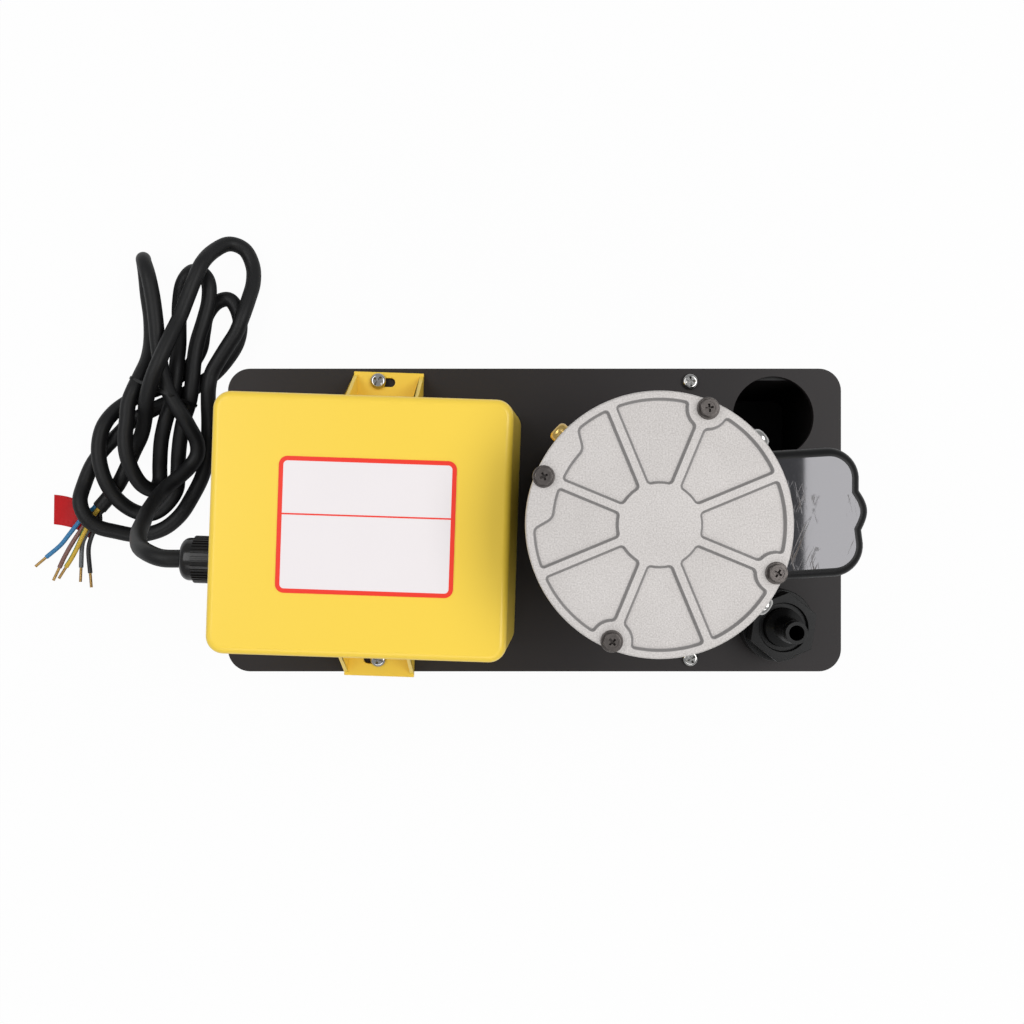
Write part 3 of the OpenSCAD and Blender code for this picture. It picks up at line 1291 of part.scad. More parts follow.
module rod_collars() color("#a98b4a") at_rod() for (z = [
    float_z - rod_collar_h, float_z + float_h, fork_z - fork_half - rod_collar_h, fork_z + fork_half])
    translate([0, 0, z]) ring(rod_collar_r, rod_r, rod_collar_h);

module guide_bush() color("#e3dfd2") at_rod() difference() {
    union() {
        translate([0, 0, tank_h]) cylinder(r = bush_flange_r, h = bush_flange_t);
        translate([0, 0, lid_z - bush_tail]) cylinder(r = bush_r, h = bush_tail + lid_t);
    }
    translate([0, 0, lid_z - bush_tail - cut])
        cylinder(r = rod_r + bush_fit, h = bush_tail + lid_t + bush_flange_t + 2 * cut);
}

module tank_float() color("#d8d2c4") at_rod(float_z) ring(float_r, rod_r, float_h);

cable_dirs = path_dirs(cable_path);

module supply_cable() color("#242424") swept(
    slice(cable_path, 0, lead_last, path_steps), slice(cable_dirs, 0, lead_last, path_steps), cable_r, 10);

module cable_hank() color("#1f1f1f") {
    bundle = slice(cable_path, lead_last, len(cable_path) - 1);
    echo(least_gap = self_gap(bundle, cable_d, gap_skip));
    swept(bundle, slice(cable_dirs, lead_last, len(cable_path) - 1), cable_r, 6);
}

// Path of one core from the jacket end
function core_start(i) = jacket_end
    + core_ring_r * (cos(end_angles[i]) * jacket_side + sin(end_angles[i]) * [0, 0, 1]);
function core_path(i) = spline(
    concat([core_start(i), core_start(i) + core_d * jacket_dir], core_routes[i]), core_steps);

module core_wires() for (i = [0 : len(core_routes) - 1]) {
    path = core_path(i);
    dirs = path_dirs(path);
    last = len(path) - 1;
    color(core_colours[i]) swept(path, concat([jacket_dir], slice(dirs, 1, last)), core_r, core_sides);
    color("#b5772e") bar(path[last], path[last] + copper_l * dirs[last], copper_d / 2);
}

// Bundle of the two cores inside the fold of the tag
module folded(r, more) hull() for (i = tag_cores) {
    $fn = hull_fn;
    from = core_routes[i][tag_fold[0]];
    to = core_routes[i][tag_fold[1]];
    bar(from - more * unit(to - from), to + more * unit(to - from), r);
}

module cable_tag() color("#c8201c") difference() {
    union() {
        translate([0, 0, tag_z]) linear_extrude(tag_t) polygon(tag_outline);
        folded(core_r + tag_t + tag_room, 0);
    }
    folded(core_r + tag_room, core_d);
}

module cable_tie() color("#19191a") translate([0, tie_y + tie_w / 2, 0]) rotate([90, 0, 0])
    linear_extrude(tie_w) difference() {
        hull() tie_round(tie_gap + tie_t);
        hull() tie_round(tie_gap);
    }
module tie_round(more) for (p = tie_turns) translate(p) circle(cable_r + more, $fn = hull_fn);

tank();
tank_lid();
lid_gasket();
lid_screws();
outlet_body();
outlet_locknut();
union_nut();
tail_seal();
hose_tail();
check_ball();
riser_pipe();
volute_casing();
suction_strainer();
pump_screws();
impeller();
impeller_nut();
pump_shaft();
pump_column();
shaft_seal();
motor_base();
base_screws();
motor_shell();
shell_screws();
stator_core();
stator_windings();
rotor_core();
shaft_bearings();
cooling_fan();
end_cap();
end_cap_screws();
rim_screws();
earth_screw();
capacitor_bracket();
capacitor();
capacitor_cover();
switch_cover();
label_panel();
gland_body();
gland_locknut();
gland_seal();
gland_nut();
cable_entry();
inner_cores();
terminal_block();
switch_bracket();
microswitches();
switch_pins();
run_plunger();
alarm_plunger();
lever_pin();
switch_lever();
float_rod();
rod_collars();
guide_bush();
tank_float();
supply_cable();
cable_hank();
core_wires();
cable_tag();
cable_tie();
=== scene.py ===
# %% [markdown]
# # A condensate tank pump
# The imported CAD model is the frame: every piece made here goes where it says, in metres.
# The pump stands on the floor at z = 0, with its tank's middle at the origin.

# %% Load the frame
from math import cos, hypot, pi, radians, sin, tau

import bmesh
import bpy
from mathutils import Matrix, Vector
from mathutils.geometry import interpolate_bezier


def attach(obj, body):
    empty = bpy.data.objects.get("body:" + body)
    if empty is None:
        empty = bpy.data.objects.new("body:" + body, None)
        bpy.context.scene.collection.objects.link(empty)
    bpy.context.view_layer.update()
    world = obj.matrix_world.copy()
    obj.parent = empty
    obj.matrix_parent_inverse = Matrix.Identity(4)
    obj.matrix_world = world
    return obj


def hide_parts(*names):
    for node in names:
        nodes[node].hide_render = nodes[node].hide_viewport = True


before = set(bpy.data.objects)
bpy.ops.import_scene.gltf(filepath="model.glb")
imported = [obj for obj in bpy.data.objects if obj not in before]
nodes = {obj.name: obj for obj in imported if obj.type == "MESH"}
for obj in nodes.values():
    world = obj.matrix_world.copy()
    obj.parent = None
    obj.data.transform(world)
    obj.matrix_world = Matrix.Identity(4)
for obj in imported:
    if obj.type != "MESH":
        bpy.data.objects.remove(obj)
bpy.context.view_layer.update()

# %% [markdown]
# ## Camera
# The photograph was taken from straight above with the lens close to the pump, so tall
# pieces look larger than the lid. A camera 760 mm up with a 42.45 mm lens gives that look.

# %% Place the camera
CAMERA_PLACE, LENS_MM, SENSOR_MM = (-0.0121, 0.0043, 0.76), 42.45, 36
bpy.ops.object.camera_add(location=CAMERA_PLACE, rotation=(0, 0, 0))
camera = bpy.context.object
camera.data.sensor_width = SENSOR_MM
camera.data.lens = LENS_MM
camera.data.clip_start = 0.01
scene = bpy.context.scene
scene.camera = camera
scene.view_settings.view_transform = "Standard"
print("camera at", tuple(round(v, 4) for v in camera.location))

# %% [markdown]
# ## Finishes
# Every finish is a Principled shader whose colour and roughness wander a little with a
# noise in Object coordinates, and whose surface has a fine grain. The sizes are real ones:
# a noise scale of 1000 has features of about a millimetre.

# %% A helper that adds a shader node
GRAIN_DEPTH = 0.0003


def add_node(tree, kind, **values):
    """Add a node and set the sockets named, where From_Min stands for From Min."""
    node = tree.nodes.new("ShaderNode" + kind)
    for socket, value in values.items():
        node.inputs[socket.replace("_", " ")].default_value = value
    return node


def color_mix(tree, low, high):
    """A Mix node that goes from one colour to another."""
    mix = add_node(tree, "Mix")
    mix.data_type = "RGBA"
    mix.inputs["A"].default_value = (*low, 1)
    mix.inputs["B"].default_value = (*high, 1)
    return mix


# %% A helper that builds a finish
def finish(name, color, dark, rough=(0.4, 0.5), metal=0.0, patches=60, grain=900, bump=0.05,
           spec=0.5, speckle=0.0):
    """A material between dark and color in soft patches, with a fine grain.

    patches and grain are the scales of the two noises, rough is the range of roughness,
    and speckle is how much of the colour follows the grain instead of the patches.
    """
    material = bpy.data.materials.new(name)
    material.use_nodes = True
    tree = material.node_tree
    shader = tree.nodes["Principled BSDF"]
    shader.inputs["Metallic"].default_value = metal
    shader.inputs["Specular IOR Level"].default_value = spec
    place = add_node(tree, "TexCoord")
    wander = add_node(tree, "TexNoise", Scale=patches, Detail=6)
    fine = add_node(tree, "TexNoise", Scale=grain, Detail=3)
    sand = add_node(tree, "MapRange", From_Min=0.35, From_Max=0.65)
    share = add_node(tree, "Mix", Factor=speckle)
    mix = color_mix(tree, dark, color)
    spread = add_node(tree, "MapRange", To_Min=rough[0], To_Max=rough[1])
    relief = add_node(tree, "Bump", Strength=bump, Distance=GRAIN_DEPTH)
    link = tree.links.new
    link(place.outputs["Object"], wander.inputs["Vector"])
    link(place.outputs["Object"], fine.inputs["Vector"])
    link(fine.outputs["Fac"], sand.inputs["Value"])
    link(wander.outputs["Fac"], share.inputs["A"])
    link(sand.outputs["Result"], share.inputs["B"])
    link(share.outputs["Result"], mix.inputs["Factor"])
    link(mix.outputs["Result"], shader.inputs["Base Color"])
    link(fine.outputs["Fac"], spread.inputs["Value"])
    link(spread.outputs["Result"], shader.inputs["Roughness"])
    link(fine.outputs["Fac"], relief.inputs["Height"])
    link(relief.outputs["Normal"], shader.inputs["Normal"])
    return material


def paint(piece, material):
    piece.data.materials.clear()
    piece.data.materials.append(material)


# %% [markdown]
# ## The supply cable
# A round rubber cable with five cores. It leaves the gland, drops to the floor and lies in
# a tied bundle of folded runs. A curve with round bevel keeps its length and its thickness
# exactly, and the same points as in the CAD model give it the same way.

# %% Route of the cable, from the gland to the bundle and on to the end of its jacket
CABLE_D = 0.0092
lead_route = [
    (-0.18, -0.0195, 0.145), (-0.19, -0.0192, 0.145), (-0.198, -0.017, 0.141),
    (-0.206, -0.014, 0.13), (-0.212, -0.01, 0.114), (-0.217, -0.006, 0.096),
    (-0.221, -0.002, 0.077), (-0.225, 0.003, 0.057), (-0.226, 0.009, 0.041), (-0.225, 0.015, 0.03),
    (-0.221, 0.021, 0.023)
]
hank_route = [
    (-0.215, 0.027, 0.019), (-0.21, 0.033, 0.016), (-0.206, 0.04, 0.016), (-0.206, 0.048, 0.018),
    (-0.209, 0.056, 0.023), (-0.213, 0.064, 0.026), (-0.218, 0.072, 0.027), (-0.222, 0.081, 0.027),
    (-0.225, 0.092, 0.027), (-0.227, 0.105, 0.027), (-0.228, 0.12, 0.028), (-0.23, 0.135, 0.028),
    (-0.233, 0.148, 0.027), (-0.237, 0.157, 0.022), (-0.24, 0.16, 0.013), (-0.241, 0.153, 0.006),
    (-0.24, 0.14, 0.005), (-0.238, 0.125, 0.005), (-0.237, 0.11, 0.008), (-0.237, 0.098, 0.015),
    (-0.239, 0.088, 0.022), (-0.242, 0.079, 0.026), (-0.245, 0.07, 0.027), (-0.246, 0.06, 0.027),
    (-0.247, 0.049, 0.027), (-0.246, 0.039, 0.027), (-0.243, 0.029, 0.025), (-0.239, 0.021, 0.02),
    (-0.234, 0.018, 0.013), (-0.232, 0.023, 0.007), (-0.232, 0.034, 0.006), (-0.23, 0.048, 0.01),
    (-0.226, 0.06, 0.015), (-0.222, 0.072, 0.016), (-0.22, 0.083, 0.016), (-0.219, 0.095, 0.015),
    (-0.219, 0.108, 0.01), (-0.22, 0.122, 0.006), (-0.22, 0.135, 0.005), (-0.218, 0.147, 0.005),
    (-0.212, 0.154, 0.007), (-0.204, 0.152, 0.012), (-0.199, 0.145, 0.016), (-0.199, 0.134, 0.016),
    (-0.202, 0.122, 0.016), (-0.206, 0.109, 0.016), (-0.208, 0.097, 0.016), (-0.209, 0.085, 0.016),
    (-0.211, 0.073, 0.015), (-0.215, 0.062, 0.013), (-0.218, 0.051, 0.01), (-0.22, 0.04, 0.007),
    (-0.221, 0.029, 0.005), (-0.222, 0.018, 0.005), (-0.229, 0.008, 0.005), (-0.238, 0.003, 0.005),
    (-0.248, 0.005, 0.007), (-0.256, 0.012, 0.013), (-0.262, 0.022, 0.016), (-0.266, 0.034, 0.016),
    (-0.267, 0.046, 0.015), (-0.265, 0.057, 0.013), (-0.26, 0.066, 0.009), (-0.252, 0.073, 0.006),
    (-0.243, 0.078, 0.005), (-0.232, 0.082, 0.005), (-0.222, 0.088, 0.005), (-0.213, 0.096, 0.005),
    (-0.207, 0.106, 0.005), (-0.205, 0.117, 0.005), (-0.203, 0.127, 0.005), (-0.197, 0.135, 0.005),
    (-0.189, 0.137, 0.006), (-0.184, 0.131, 0.006), (-0.182, 0.121, 0.005), (-0.184, 0.11, 0.005),
    (-0.19, 0.1, 0.005), (-0.198, 0.091, 0.005), (-0.209, 0.083, 0.005), (-0.22, 0.076, 0.005),
    (-0.231, 0.071, 0.005), (-0.241, 0.066, 0.005), (-0.25, 0.061, 0.005), (-0.258, 0.053, 0.005),
    (-0.267, 0.044, 0.005), (-0.274, 0.034, 0.006), (-0.278, 0.022, 0.009), (-0.279, 0.011, 0.014),
    (-0.275, 0.001, 0.015), (-0.268, -0.005, 0.013), (-0.258, -0.008, 0.009),
    (-0.248, -0.01, 0.006), (-0.238, -0.009, 0.005), (-0.228, -0.005, 0.005),
    (-0.219, 0.003, 0.005), (-0.212, 0.014, 0.005), (-0.206, 0.026, 0.005), (-0.203, 0.038, 0.005),
    (-0.202, 0.05, 0.005), (-0.201, 0.061, 0.008), (-0.2, 0.071, 0.013), (-0.199, 0.081, 0.016),
    (-0.197, 0.09, 0.016), (-0.192, 0.099, 0.016), (-0.187, 0.107, 0.016), (-0.182, 0.115, 0.016),
    (-0.178, 0.125, 0.016), (-0.175, 0.136, 0.013), (-0.173, 0.147, 0.009), (-0.174, 0.158, 0.006),
    (-0.179, 0.168, 0.006), (-0.188, 0.171, 0.009), (-0.196, 0.165, 0.016), (-0.201, 0.156, 0.024),
    (-0.205, 0.145, 0.027), (-0.209, 0.134, 0.028), (-0.213, 0.122, 0.03), (-0.217, 0.111, 0.034),
    (-0.221, 0.1, 0.037), (-0.225, 0.09, 0.038), (-0.229, 0.081, 0.036), (-0.233, 0.071, 0.031),
    (-0.237, 0.062, 0.02), (-0.242, 0.052, 0.011), (-0.248, 0.042, 0.007), (-0.253, 0.032, 0.005),
    (-0.258, 0.022, 0.005), (-0.264, 0.014, 0.005), (-0.27, 0.007, 0.005)
]
print(len(lead_route) + len(hank_route), "points on the route of the cable")

# %% A helper that makes a smooth tube through points
def tube(name, points, diameter, material, sides=6, steps=6):
    points = [Vector(p) for p in points]
    last = len(points) - 1
    curve = bpy.data.curves.new(name, "CURVE")
    curve.dimensions = "3D"
    curve.bevel_depth = diameter / 2
    curve.bevel_resolution = sides
    curve.resolution_u = steps
    curve.use_fill_caps = True
    spline = curve.splines.new("BEZIER")
    spline.bezier_points.add(last)
    for i, knot in enumerate(spline.bezier_points):
        # A handle is a third of a step long, and between two neighbours lie two steps.
        before, after = points[max(i - 1, 0)], points[min(i + 1, last)]
        way = (after - before) / (3 if i in (0, last) else 6)
        knot.co = points[i]
        knot.handle_left_type = knot.handle_right_type = "FREE"
        knot.handle_left = points[i] - way
        knot.handle_right = points[i] + way
    piece = bpy.data.objects.new(name, curve)
    scene.collection.objects.link(piece)
    curve.materials.append(material)
    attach(piece, "pump")
    return piece


def curve_length(piece):
    return sum(s.calc_length() for s in piece.data.splines)


# %% Lay the cable
sheath = finish("smooth black rubber", (0.0105, 0.0105, 0.011), (0.007, 0.007, 0.0075),
                (0.42, 0.54), patches=30, bump=0.08, spec=0.3)
cable = tube("supply_cable_run", lead_route + hank_route, CABLE_D, sheath,
             sides=10, steps=8)
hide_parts("supply_cable", "cable_hank")
print("cable", round(curve_length(cable), 3), "m")

# %% [markdown]
# ### The five cores
# At the end of the jacket the cores fan out, each with its own colour and a bared copper
# end of fine strands. They start on a circle inside the jacket and each is a cord of its own.

# %% Angle in the jacket, two colours and route of each core
CORE_D, COPPER_D, BARED = 0.0028, 0.0018, 0.009
cores = {
    "blue": (144, (0.035, 0.23, 0.47), (0.028, 0.19, 0.41), [
        (-0.278, 0.0035, 0.006), (-0.283, -0.0023, 0.0055), (-0.289, -0.0095, 0.0045),
        (-0.295, -0.0165, 0.0035), (-0.304, -0.024, 0.003)]),
    "brown": (-144, (0.25, 0.125, 0.10), (0.21, 0.10, 0.08), [
        (-0.2768, 0, 0.0035), (-0.2813, -0.006, 0.004), (-0.2873, -0.015, 0.004),
        (-0.2923, -0.0235, 0.0035), (-0.2958, -0.0305, 0.003)]),
    "earth": (72, (0.74, 0.48, 0.04), (0.66, 0.42, 0.035), [
        (-0.2745, -0.001, 0.008), (-0.2793, -0.0095, 0.0072), (-0.284, -0.0185, 0.0055),
        (-0.288, -0.025, 0.004), (-0.2915, -0.03, 0.003)]),
    "grey": (-72, (0.14, 0.15, 0.155), (0.12, 0.125, 0.13), [
        (-0.2727, -0.0005, 0.0026), (-0.2767, -0.006, 0.0026), (-0.2797, -0.011, 0.0026),
        (-0.2817, -0.017, 0.0027), (-0.2823, -0.0305, 0.0028)]),
    "black": (0, (0.018, 0.018, 0.02), (0.012, 0.012, 0.013), [
        (-0.2698, -0.001, 0.0048), (-0.2728, -0.006, 0.0044), (-0.2758, -0.012, 0.0036),
        (-0.2776, -0.02, 0.003), (-0.2765, -0.034, 0.003)]),
}
print(len(cores), "cores:", ", ".join(cores))

# %% Cores and their copper ends
jacket_end = Vector(hank_route[-1])
jacket_way = (jacket_end - Vector(hank_route[-2])).normalized()
jacket_side = Vector((-jacket_way.y, jacket_way.x, 0))
# The cores stay 0.3 of their radius inside the skin of the jacket.
core_circle = CABLE_D / 2 - 1.3 * CORE_D / 2
copper = finish("bared copper strands", (0.58, 0.37, 0.14), (0.40, 0.24, 0.08), (0.3, 0.45),
                metal=1.0, grain=2500, bump=0.5)
wires = {}
for core, (angle, color, dark, route) in cores.items():
    ring = cos(radians(angle)) * jacket_side + sin(radians(angle)) * Vector((0, 0, 1))
    start = jacket_end + core_circle * ring
    route = [start, start + CORE_D * jacket_way] + [Vector(p) for p in route]
    skin = finish(core + " core", color, dark, (0.3, 0.4), patches=200, bump=0.03)
    wire = tube("core_" + core, route, CORE_D, skin, sides=5)
    way = (route[-1] - route[-2]).normalized()
    strands = [route[-1] + out * way for out in (-0.001, 0.004, BARED)]
    bare = tube("copper_" + core, strands, COPPER_D, copper, sides=4)
    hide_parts("core_wires")
    wires[core] = (wire, start, [bare])
    print("core", core, round(curve_length(wire), 4), "m")

# %% [markdown]
# ## Floor and light
# The pump was shot on plain white in a light tent. The floor is a white plane that the
# camera sees brighter than the lamps light it, so it turns white and still keeps a shadow.
# A large soft lamp hangs above to the right, where the glossy covers mirror it.

# %% Floor
CAMERA_WHITE = 0.96
bpy.ops.mesh.primitive_plane_add(size=6, location=(0, 0, -0.0002))
floor = bpy.context.object
floor.name = "floor"
white = bpy.data.materials.new("white paper")
white.use_nodes = True
tree = white.node_tree
paper = tree.nodes["Principled BSDF"]
paper.inputs["Base Color"].default_value = (0.82, 0.82, 0.82, 1)
paper.inputs["Roughness"].default_value = 0.9
glow = add_node(tree, "Emission", Color=(1, 1, 1, 1), Strength=1.0)
rays = add_node(tree, "LightPath")
share = add_node(tree, "Math")
share.operation = "MULTIPLY"
share.inputs[1].default_value = CAMERA_WHITE
blend = add_node(tree, "MixShader")
tree.links.new(rays.outputs["Is Camera Ray"], share.inputs[0])
tree.links.new(share.outputs[0], blend.inputs["Fac"])
tree.links.new(paper.outputs["BSDF"], blend.inputs[1])
tree.links.new(glow.outputs["Emission"], blend.inputs[2])
tree.links.new(blend.outputs["Shader"], tree.nodes["Material Output"].inputs["Surface"])
paint(floor, white)
print("floor at", tuple(round(v, 4) for v in floor.location))

# %% Room light and lamps
world = bpy.data.worlds.new("tent")
world.use_nodes = True
room = world.node_tree.nodes["Background"]
room.inputs["Color"].default_value = (0.96, 0.98, 1, 1)
room.inputs["Strength"].default_value = 0.42
scene.world = world


def soft_lamp(name, place, size, watts):
    bpy.ops.object.light_add(type="AREA", location=place)
    lamp = bpy.context.object
    lamp.name = name
    lamp.data.shape = "RECTANGLE"
    lamp.data.size, lamp.data.size_y = size
    lamp.data.energy = watts


soft_lamp("key", place=(0.80, 0.10, 1.35), size=(0.8, 1.0), watts=10)
soft_lamp("fill", place=(-0.85, 0.35, 1.3), size=(0.8, 1.0), watts=6.5)
soft_lamp("front", place=(0.0, -1.0, 1.2), size=(1.2, 0.6), watts=4.5)

# %% [markdown]
# ## Finishes of the real pieces
# Moulded plastics have a satin skin with a fine grain, the yellow cover is smoother, the
# cap is bare die-cast aluminium with a sandy skin, and the small screws are zinc plated.

# %% Plastics and rubber
charcoal = finish("charcoal moulding", (0.032, 0.028, 0.028), (0.027, 0.0235, 0.0235),
                  (0.36, 0.46), patches=25, bump=0.06, spec=0.18)
black_moulding = finish("black moulding", (0.009, 0.0088, 0.0088), (0.006, 0.006, 0.006),
                        (0.3, 0.42), patches=80, bump=0.05, spec=0.22)
gland_black = finish("gland nylon", (0.010, 0.009, 0.009), (0.007, 0.0065, 0.0065),
                     (0.14, 0.22), patches=150, bump=0.04, spec=0.45)
yellow = finish("yellow moulding", (0.985, 0.690, 0.075), (0.965, 0.668, 0.064),
                (0.28, 0.34), patches=12, grain=1500, bump=0.02)
seal = finish("seal rubber", (0.018, 0.018, 0.018), (0.012, 0.012, 0.012),
              (0.55, 0.7), patches=120, bump=0.15)
ivory = finish("ivory moulding", (0.72, 0.66, 0.54), (0.66, 0.60, 0.48),
               (0.4, 0.5), patches=60, bump=0.05)
plunger_red = finish("red moulding", (0.50, 0.04, 0.03), (0.42, 0.03, 0.02),
                     (0.3, 0.4), patches=300, bump=0.04)
red_film = finish("red film", (0.64, 0.006, 0.010), (0.52, 0.004, 0.007),
                  (0.3, 0.4), patches=150, bump=0.05, spec=0.2)
tie_black = finish("black tie", (0.008, 0.008, 0.009), (0.006, 0.006, 0.006),
                   (0.35, 0.45), patches=300, bump=0.05, spec=0.25)
print("finishes of plastics and rubber made")

# %% Metals and paint
cast = finish("die-cast aluminium", (0.72, 0.685, 0.665), (0.47, 0.44, 0.42),
              (0.5, 0.62), metal=0.25, patches=45, grain=1500, bump=0.75, speckle=0.55)
# Painted shade: a darker grey for the pocket walls, standing in for the shade in those recesses.
pocket_wall_painted_shade = finish("painted shade on the pocket walls", (0.35, 0.335, 0.33), (0.27, 0.26, 0.255),
                   (0.5, 0.6), metal=0.25, patches=90, grain=1500, bump=0.75)
motor_black = finish("black motor paint", (0.014, 0.014, 0.015), (0.010, 0.010, 0.010),
                     (0.35, 0.45), patches=50, bump=0.12)
bright_zinc = finish("bright zinc", (0.56, 0.55, 0.53), (0.42, 0.41, 0.40),
                     (0.12, 0.2), metal=1.0, patches=300, bump=0.06)
dark_zinc = finish("dark zinc", (0.15, 0.132, 0.124), (0.085, 0.076, 0.071),
                   (0.28, 0.4), metal=0.75, patches=450, bump=0.15)
earth_brass = finish("turned brass", (0.75, 0.52, 0.18), (0.60, 0.40, 0.12),
                     (0.2, 0.32), metal=1.0, patches=300, bump=0.05)
sheet_zinc = finish("zinc sheet", (0.62, 0.63, 0.64), (0.50, 0.51, 0.52),
                    (0.28, 0.4), metal=1.0, patches=120, bump=0.08)
lamination = finish("stacked laminations", (0.30, 0.30, 0.31), (0.22, 0.22, 0.23),
                    (0.4, 0.5), metal=0.9, patches=90, bump=0.2)
winding = finish("enamelled winding", (0.48, 0.17, 0.05), (0.33, 0.10, 0.03),
                 (0.25, 0.4), metal=0.4, patches=400, grain=1400, bump=0.8)
print(len(bpy.data.materials), "materials so far")

# %% Every CAD node gets the finish of the real piece
finishes = {
    charcoal: ["tank", "tank_lid"],
    black_moulding: ["outlet_body", "outlet_locknut", "union_nut", "hose_tail", "riser_pipe",
                     "volute_casing", "suction_strainer", "pump_column", "cooling_fan",
                     "microswitches", "capacitor_cover"],
    gland_black: ["gland_body", "gland_locknut", "gland_nut"],
    seal: ["lid_gasket", "tail_seal", "shaft_seal", "gland_seal", "check_ball"],
    bright_zinc: ["lid_screws", "pump_screws", "base_screws", "shell_screws", "rim_screws",
                  "impeller_nut", "switch_pins", "lever_pin", "float_rod", "pump_shaft",
                  "shaft_bearings"],
    dark_zinc: ["end_cap_screws"],
    earth_brass: ["earth_screw", "rod_collars"],
    cast: ["end_cap", "capacitor"],
    motor_black: ["motor_base", "motor_shell"],
    lamination: ["stator_core", "rotor_core"],
    winding: ["stator_windings"],
    sheet_zinc: ["capacitor_bracket", "switch_bracket"],
    yellow: ["switch_cover"],
    ivory: ["label_panel", "impeller", "guide_bush", "tank_float", "switch_lever",
            "terminal_block"],
    plunger_red: ["run_plunger", "alarm_plunger"],
    sheath: ["cable_entry", "supply_cable", "cable_hank", "inner_cores", "core_wires"],
    red_film: ["cable_tag"],
    tie_black: ["cable_tie"],
}
for material, names in finishes.items():
    for name in names:
        paint(nodes[name], material)
print(sum(len(names) for names in finishes.values()), "nodes painted")

# %% [markdown]
# ## Softened copies
# Moulded and cast pieces have no knife-sharp edges, and the thin bright line along a
# rounded edge is what makes them look real. A copy of a CAD mesh is merged, its flat
# faces are joined, and its sharp edges are bevelled by a few tenths of a millimetre.

# %% Helpers for whole objects
def alone(piece):
    bpy.ops.object.select_all(action="DESELECT")
    piece.select_set(True)
    bpy.context.view_layer.objects.active = piece


def fixed(piece):
    """Move the piece's place, turn and size into its mesh."""
    alone(piece)
    bpy.ops.object.transform_apply(location=True, rotation=True, scale=True)
    return piece


def apply_modifiers(piece):
    alone(piece)
    for modifier in list(piece.modifiers):
        bpy.ops.object.modifier_apply(modifier=modifier.name)
    return piece


def joined(host, others):
    bpy.ops.object.select_all(action="DESELECT")
    for piece in [host, *others]:
        piece.select_set(True)
    bpy.context.view_layer.objects.active = host
    bpy.ops.object.join()
    return host


def settle(piece, body, material, smooth=40):
    """Put the piece's place in its mesh, shade it, and let it ride on its body."""
    fixed(piece)
    bpy.ops.object.shade_smooth_by_angle(angle=radians(smooth))
    level = piece.modifiers.new("level shading", "WEIGHTED_NORMAL")
    level.keep_sharp = True
    apply_modifiers(piece)
    paint(piece, material)
    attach(piece, body)
    return piece


# %% Copy a node, merge it and bevel its sharp edges
TINY, HAIR = 1e-6, 1e-4


def soften(piece, width, angle):
    """Bevel every edge where the faces turn by more than an angle."""
    bevel = piece.modifiers.new("edge", "BEVEL")
    bevel.width = width
    bevel.segments = 2
    bevel.limit_method = "ANGLE"
    bevel.angle_limit = radians(angle)
    bevel.use_clamp_overlap = True
    return apply_modifiers(piece)


def softened(node, width):
    source = nodes[node]
    piece = bpy.data.objects.new(node + "_soft", source.data.copy())
    scene.collection.objects.link(piece)
    alone(piece)
    bpy.ops.object.mode_set(mode="EDIT")
    bpy.ops.mesh.select_all(action="SELECT")
    bpy.ops.mesh.remove_doubles(threshold=TINY)
    bpy.ops.mesh.dissolve_limited(angle_limit=radians(1))
    bpy.ops.object.mode_set(mode="OBJECT")
    soften(piece, width, 35)
    settle(piece, "pump", source.data.materials[0])
    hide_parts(node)
    return piece


rounded = {
    "tank": 0.001, "tank_lid": 0.0011, "motor_shell": 0.0006, "motor_base": 0.0006,
    "outlet_body": 0.0006, "union_nut": 0.0006, "hose_tail": 0.00035,
    "gland_body": 0.0004, "capacitor_bracket": 0.0002,
}
for name, width in rounded.items():
    soft = softened(name, width)
    print(name, len(soft.data.polygons), "faces after the bevel")

# %% [markdown]
# ## The yellow switch cover
# An upside-down box moulded in one piece: its sides lean in, its corners are round and a
# softer edge runs round the top. A cube whose top is drawn in gives the lean, bevels give
# the corners, and with the floor of the cube gone Solidify gives it its wall.

# %% Helpers for the mesh
def pick(piece, kind, test):
    """In edit mode: select only the faces or edges whose middle passes the test."""
    bpy.ops.mesh.select_mode(type=kind)
    bpy.ops.mesh.select_all(action="DESELECT")
    mesh = bmesh.from_edit_mesh(piece.data)
    for part in mesh.faces if kind == "FACE" else mesh.edges:
        middle = sum((v.co for v in part.verts), Vector()) / len(part.verts)
        part.select_set(bool(test(part, middle)))
    mesh.select_flush_mode()
    bmesh.update_edit_mesh(piece.data)


def block(name, size, middle):
    bpy.ops.object.select_all(action="DESELECT")
    bpy.ops.mesh.primitive_cube_add(size=1, location=middle)
    piece = bpy.context.object
    piece.name = name
    piece.scale = size
    return fixed(piece)


# %% Shape the shell of the cover
LID_TOP = 0.11
COVER_SIZE, COVER_LEAN = (0.1434, 0.126, 0.108), (0.0039, 0.00375)
COVER_PLACE = Vector((-0.0808, -0.0023, LID_TOP))
COVER_TURN = radians(-1.9)
COVER_WALL, COVER_CORNER_R, COVER_EDGE_R = 0.0025, 0.008, 0.0035

cover = block("switch_cover_shell", COVER_SIZE, (0, 0, COVER_SIZE[2] / 2))
top = COVER_SIZE[2] - HAIR
drawn_in = [1 - 2 * lean / size for lean, size in zip(COVER_LEAN, COVER_SIZE)]
bpy.ops.object.mode_set(mode="EDIT")
pick(cover, "FACE", lambda face, middle: middle.z > top)
bpy.ops.transform.resize(value=(*drawn_in, 1))
pick(cover, "EDGE", lambda edge, middle: abs(middle.z - COVER_SIZE[2] / 2) < HAIR)
bpy.ops.mesh.bevel(offset=COVER_CORNER_R, segments=10, affect="EDGES")
pick(cover, "EDGE", lambda edge, middle: all(v.co.z > top for v in edge.verts))
bpy.ops.mesh.bevel(offset=COVER_EDGE_R, segments=7, affect="EDGES")
pick(cover, "FACE", lambda face, middle: middle.z < HAIR)
bpy.ops.mesh.delete(type="FACE")
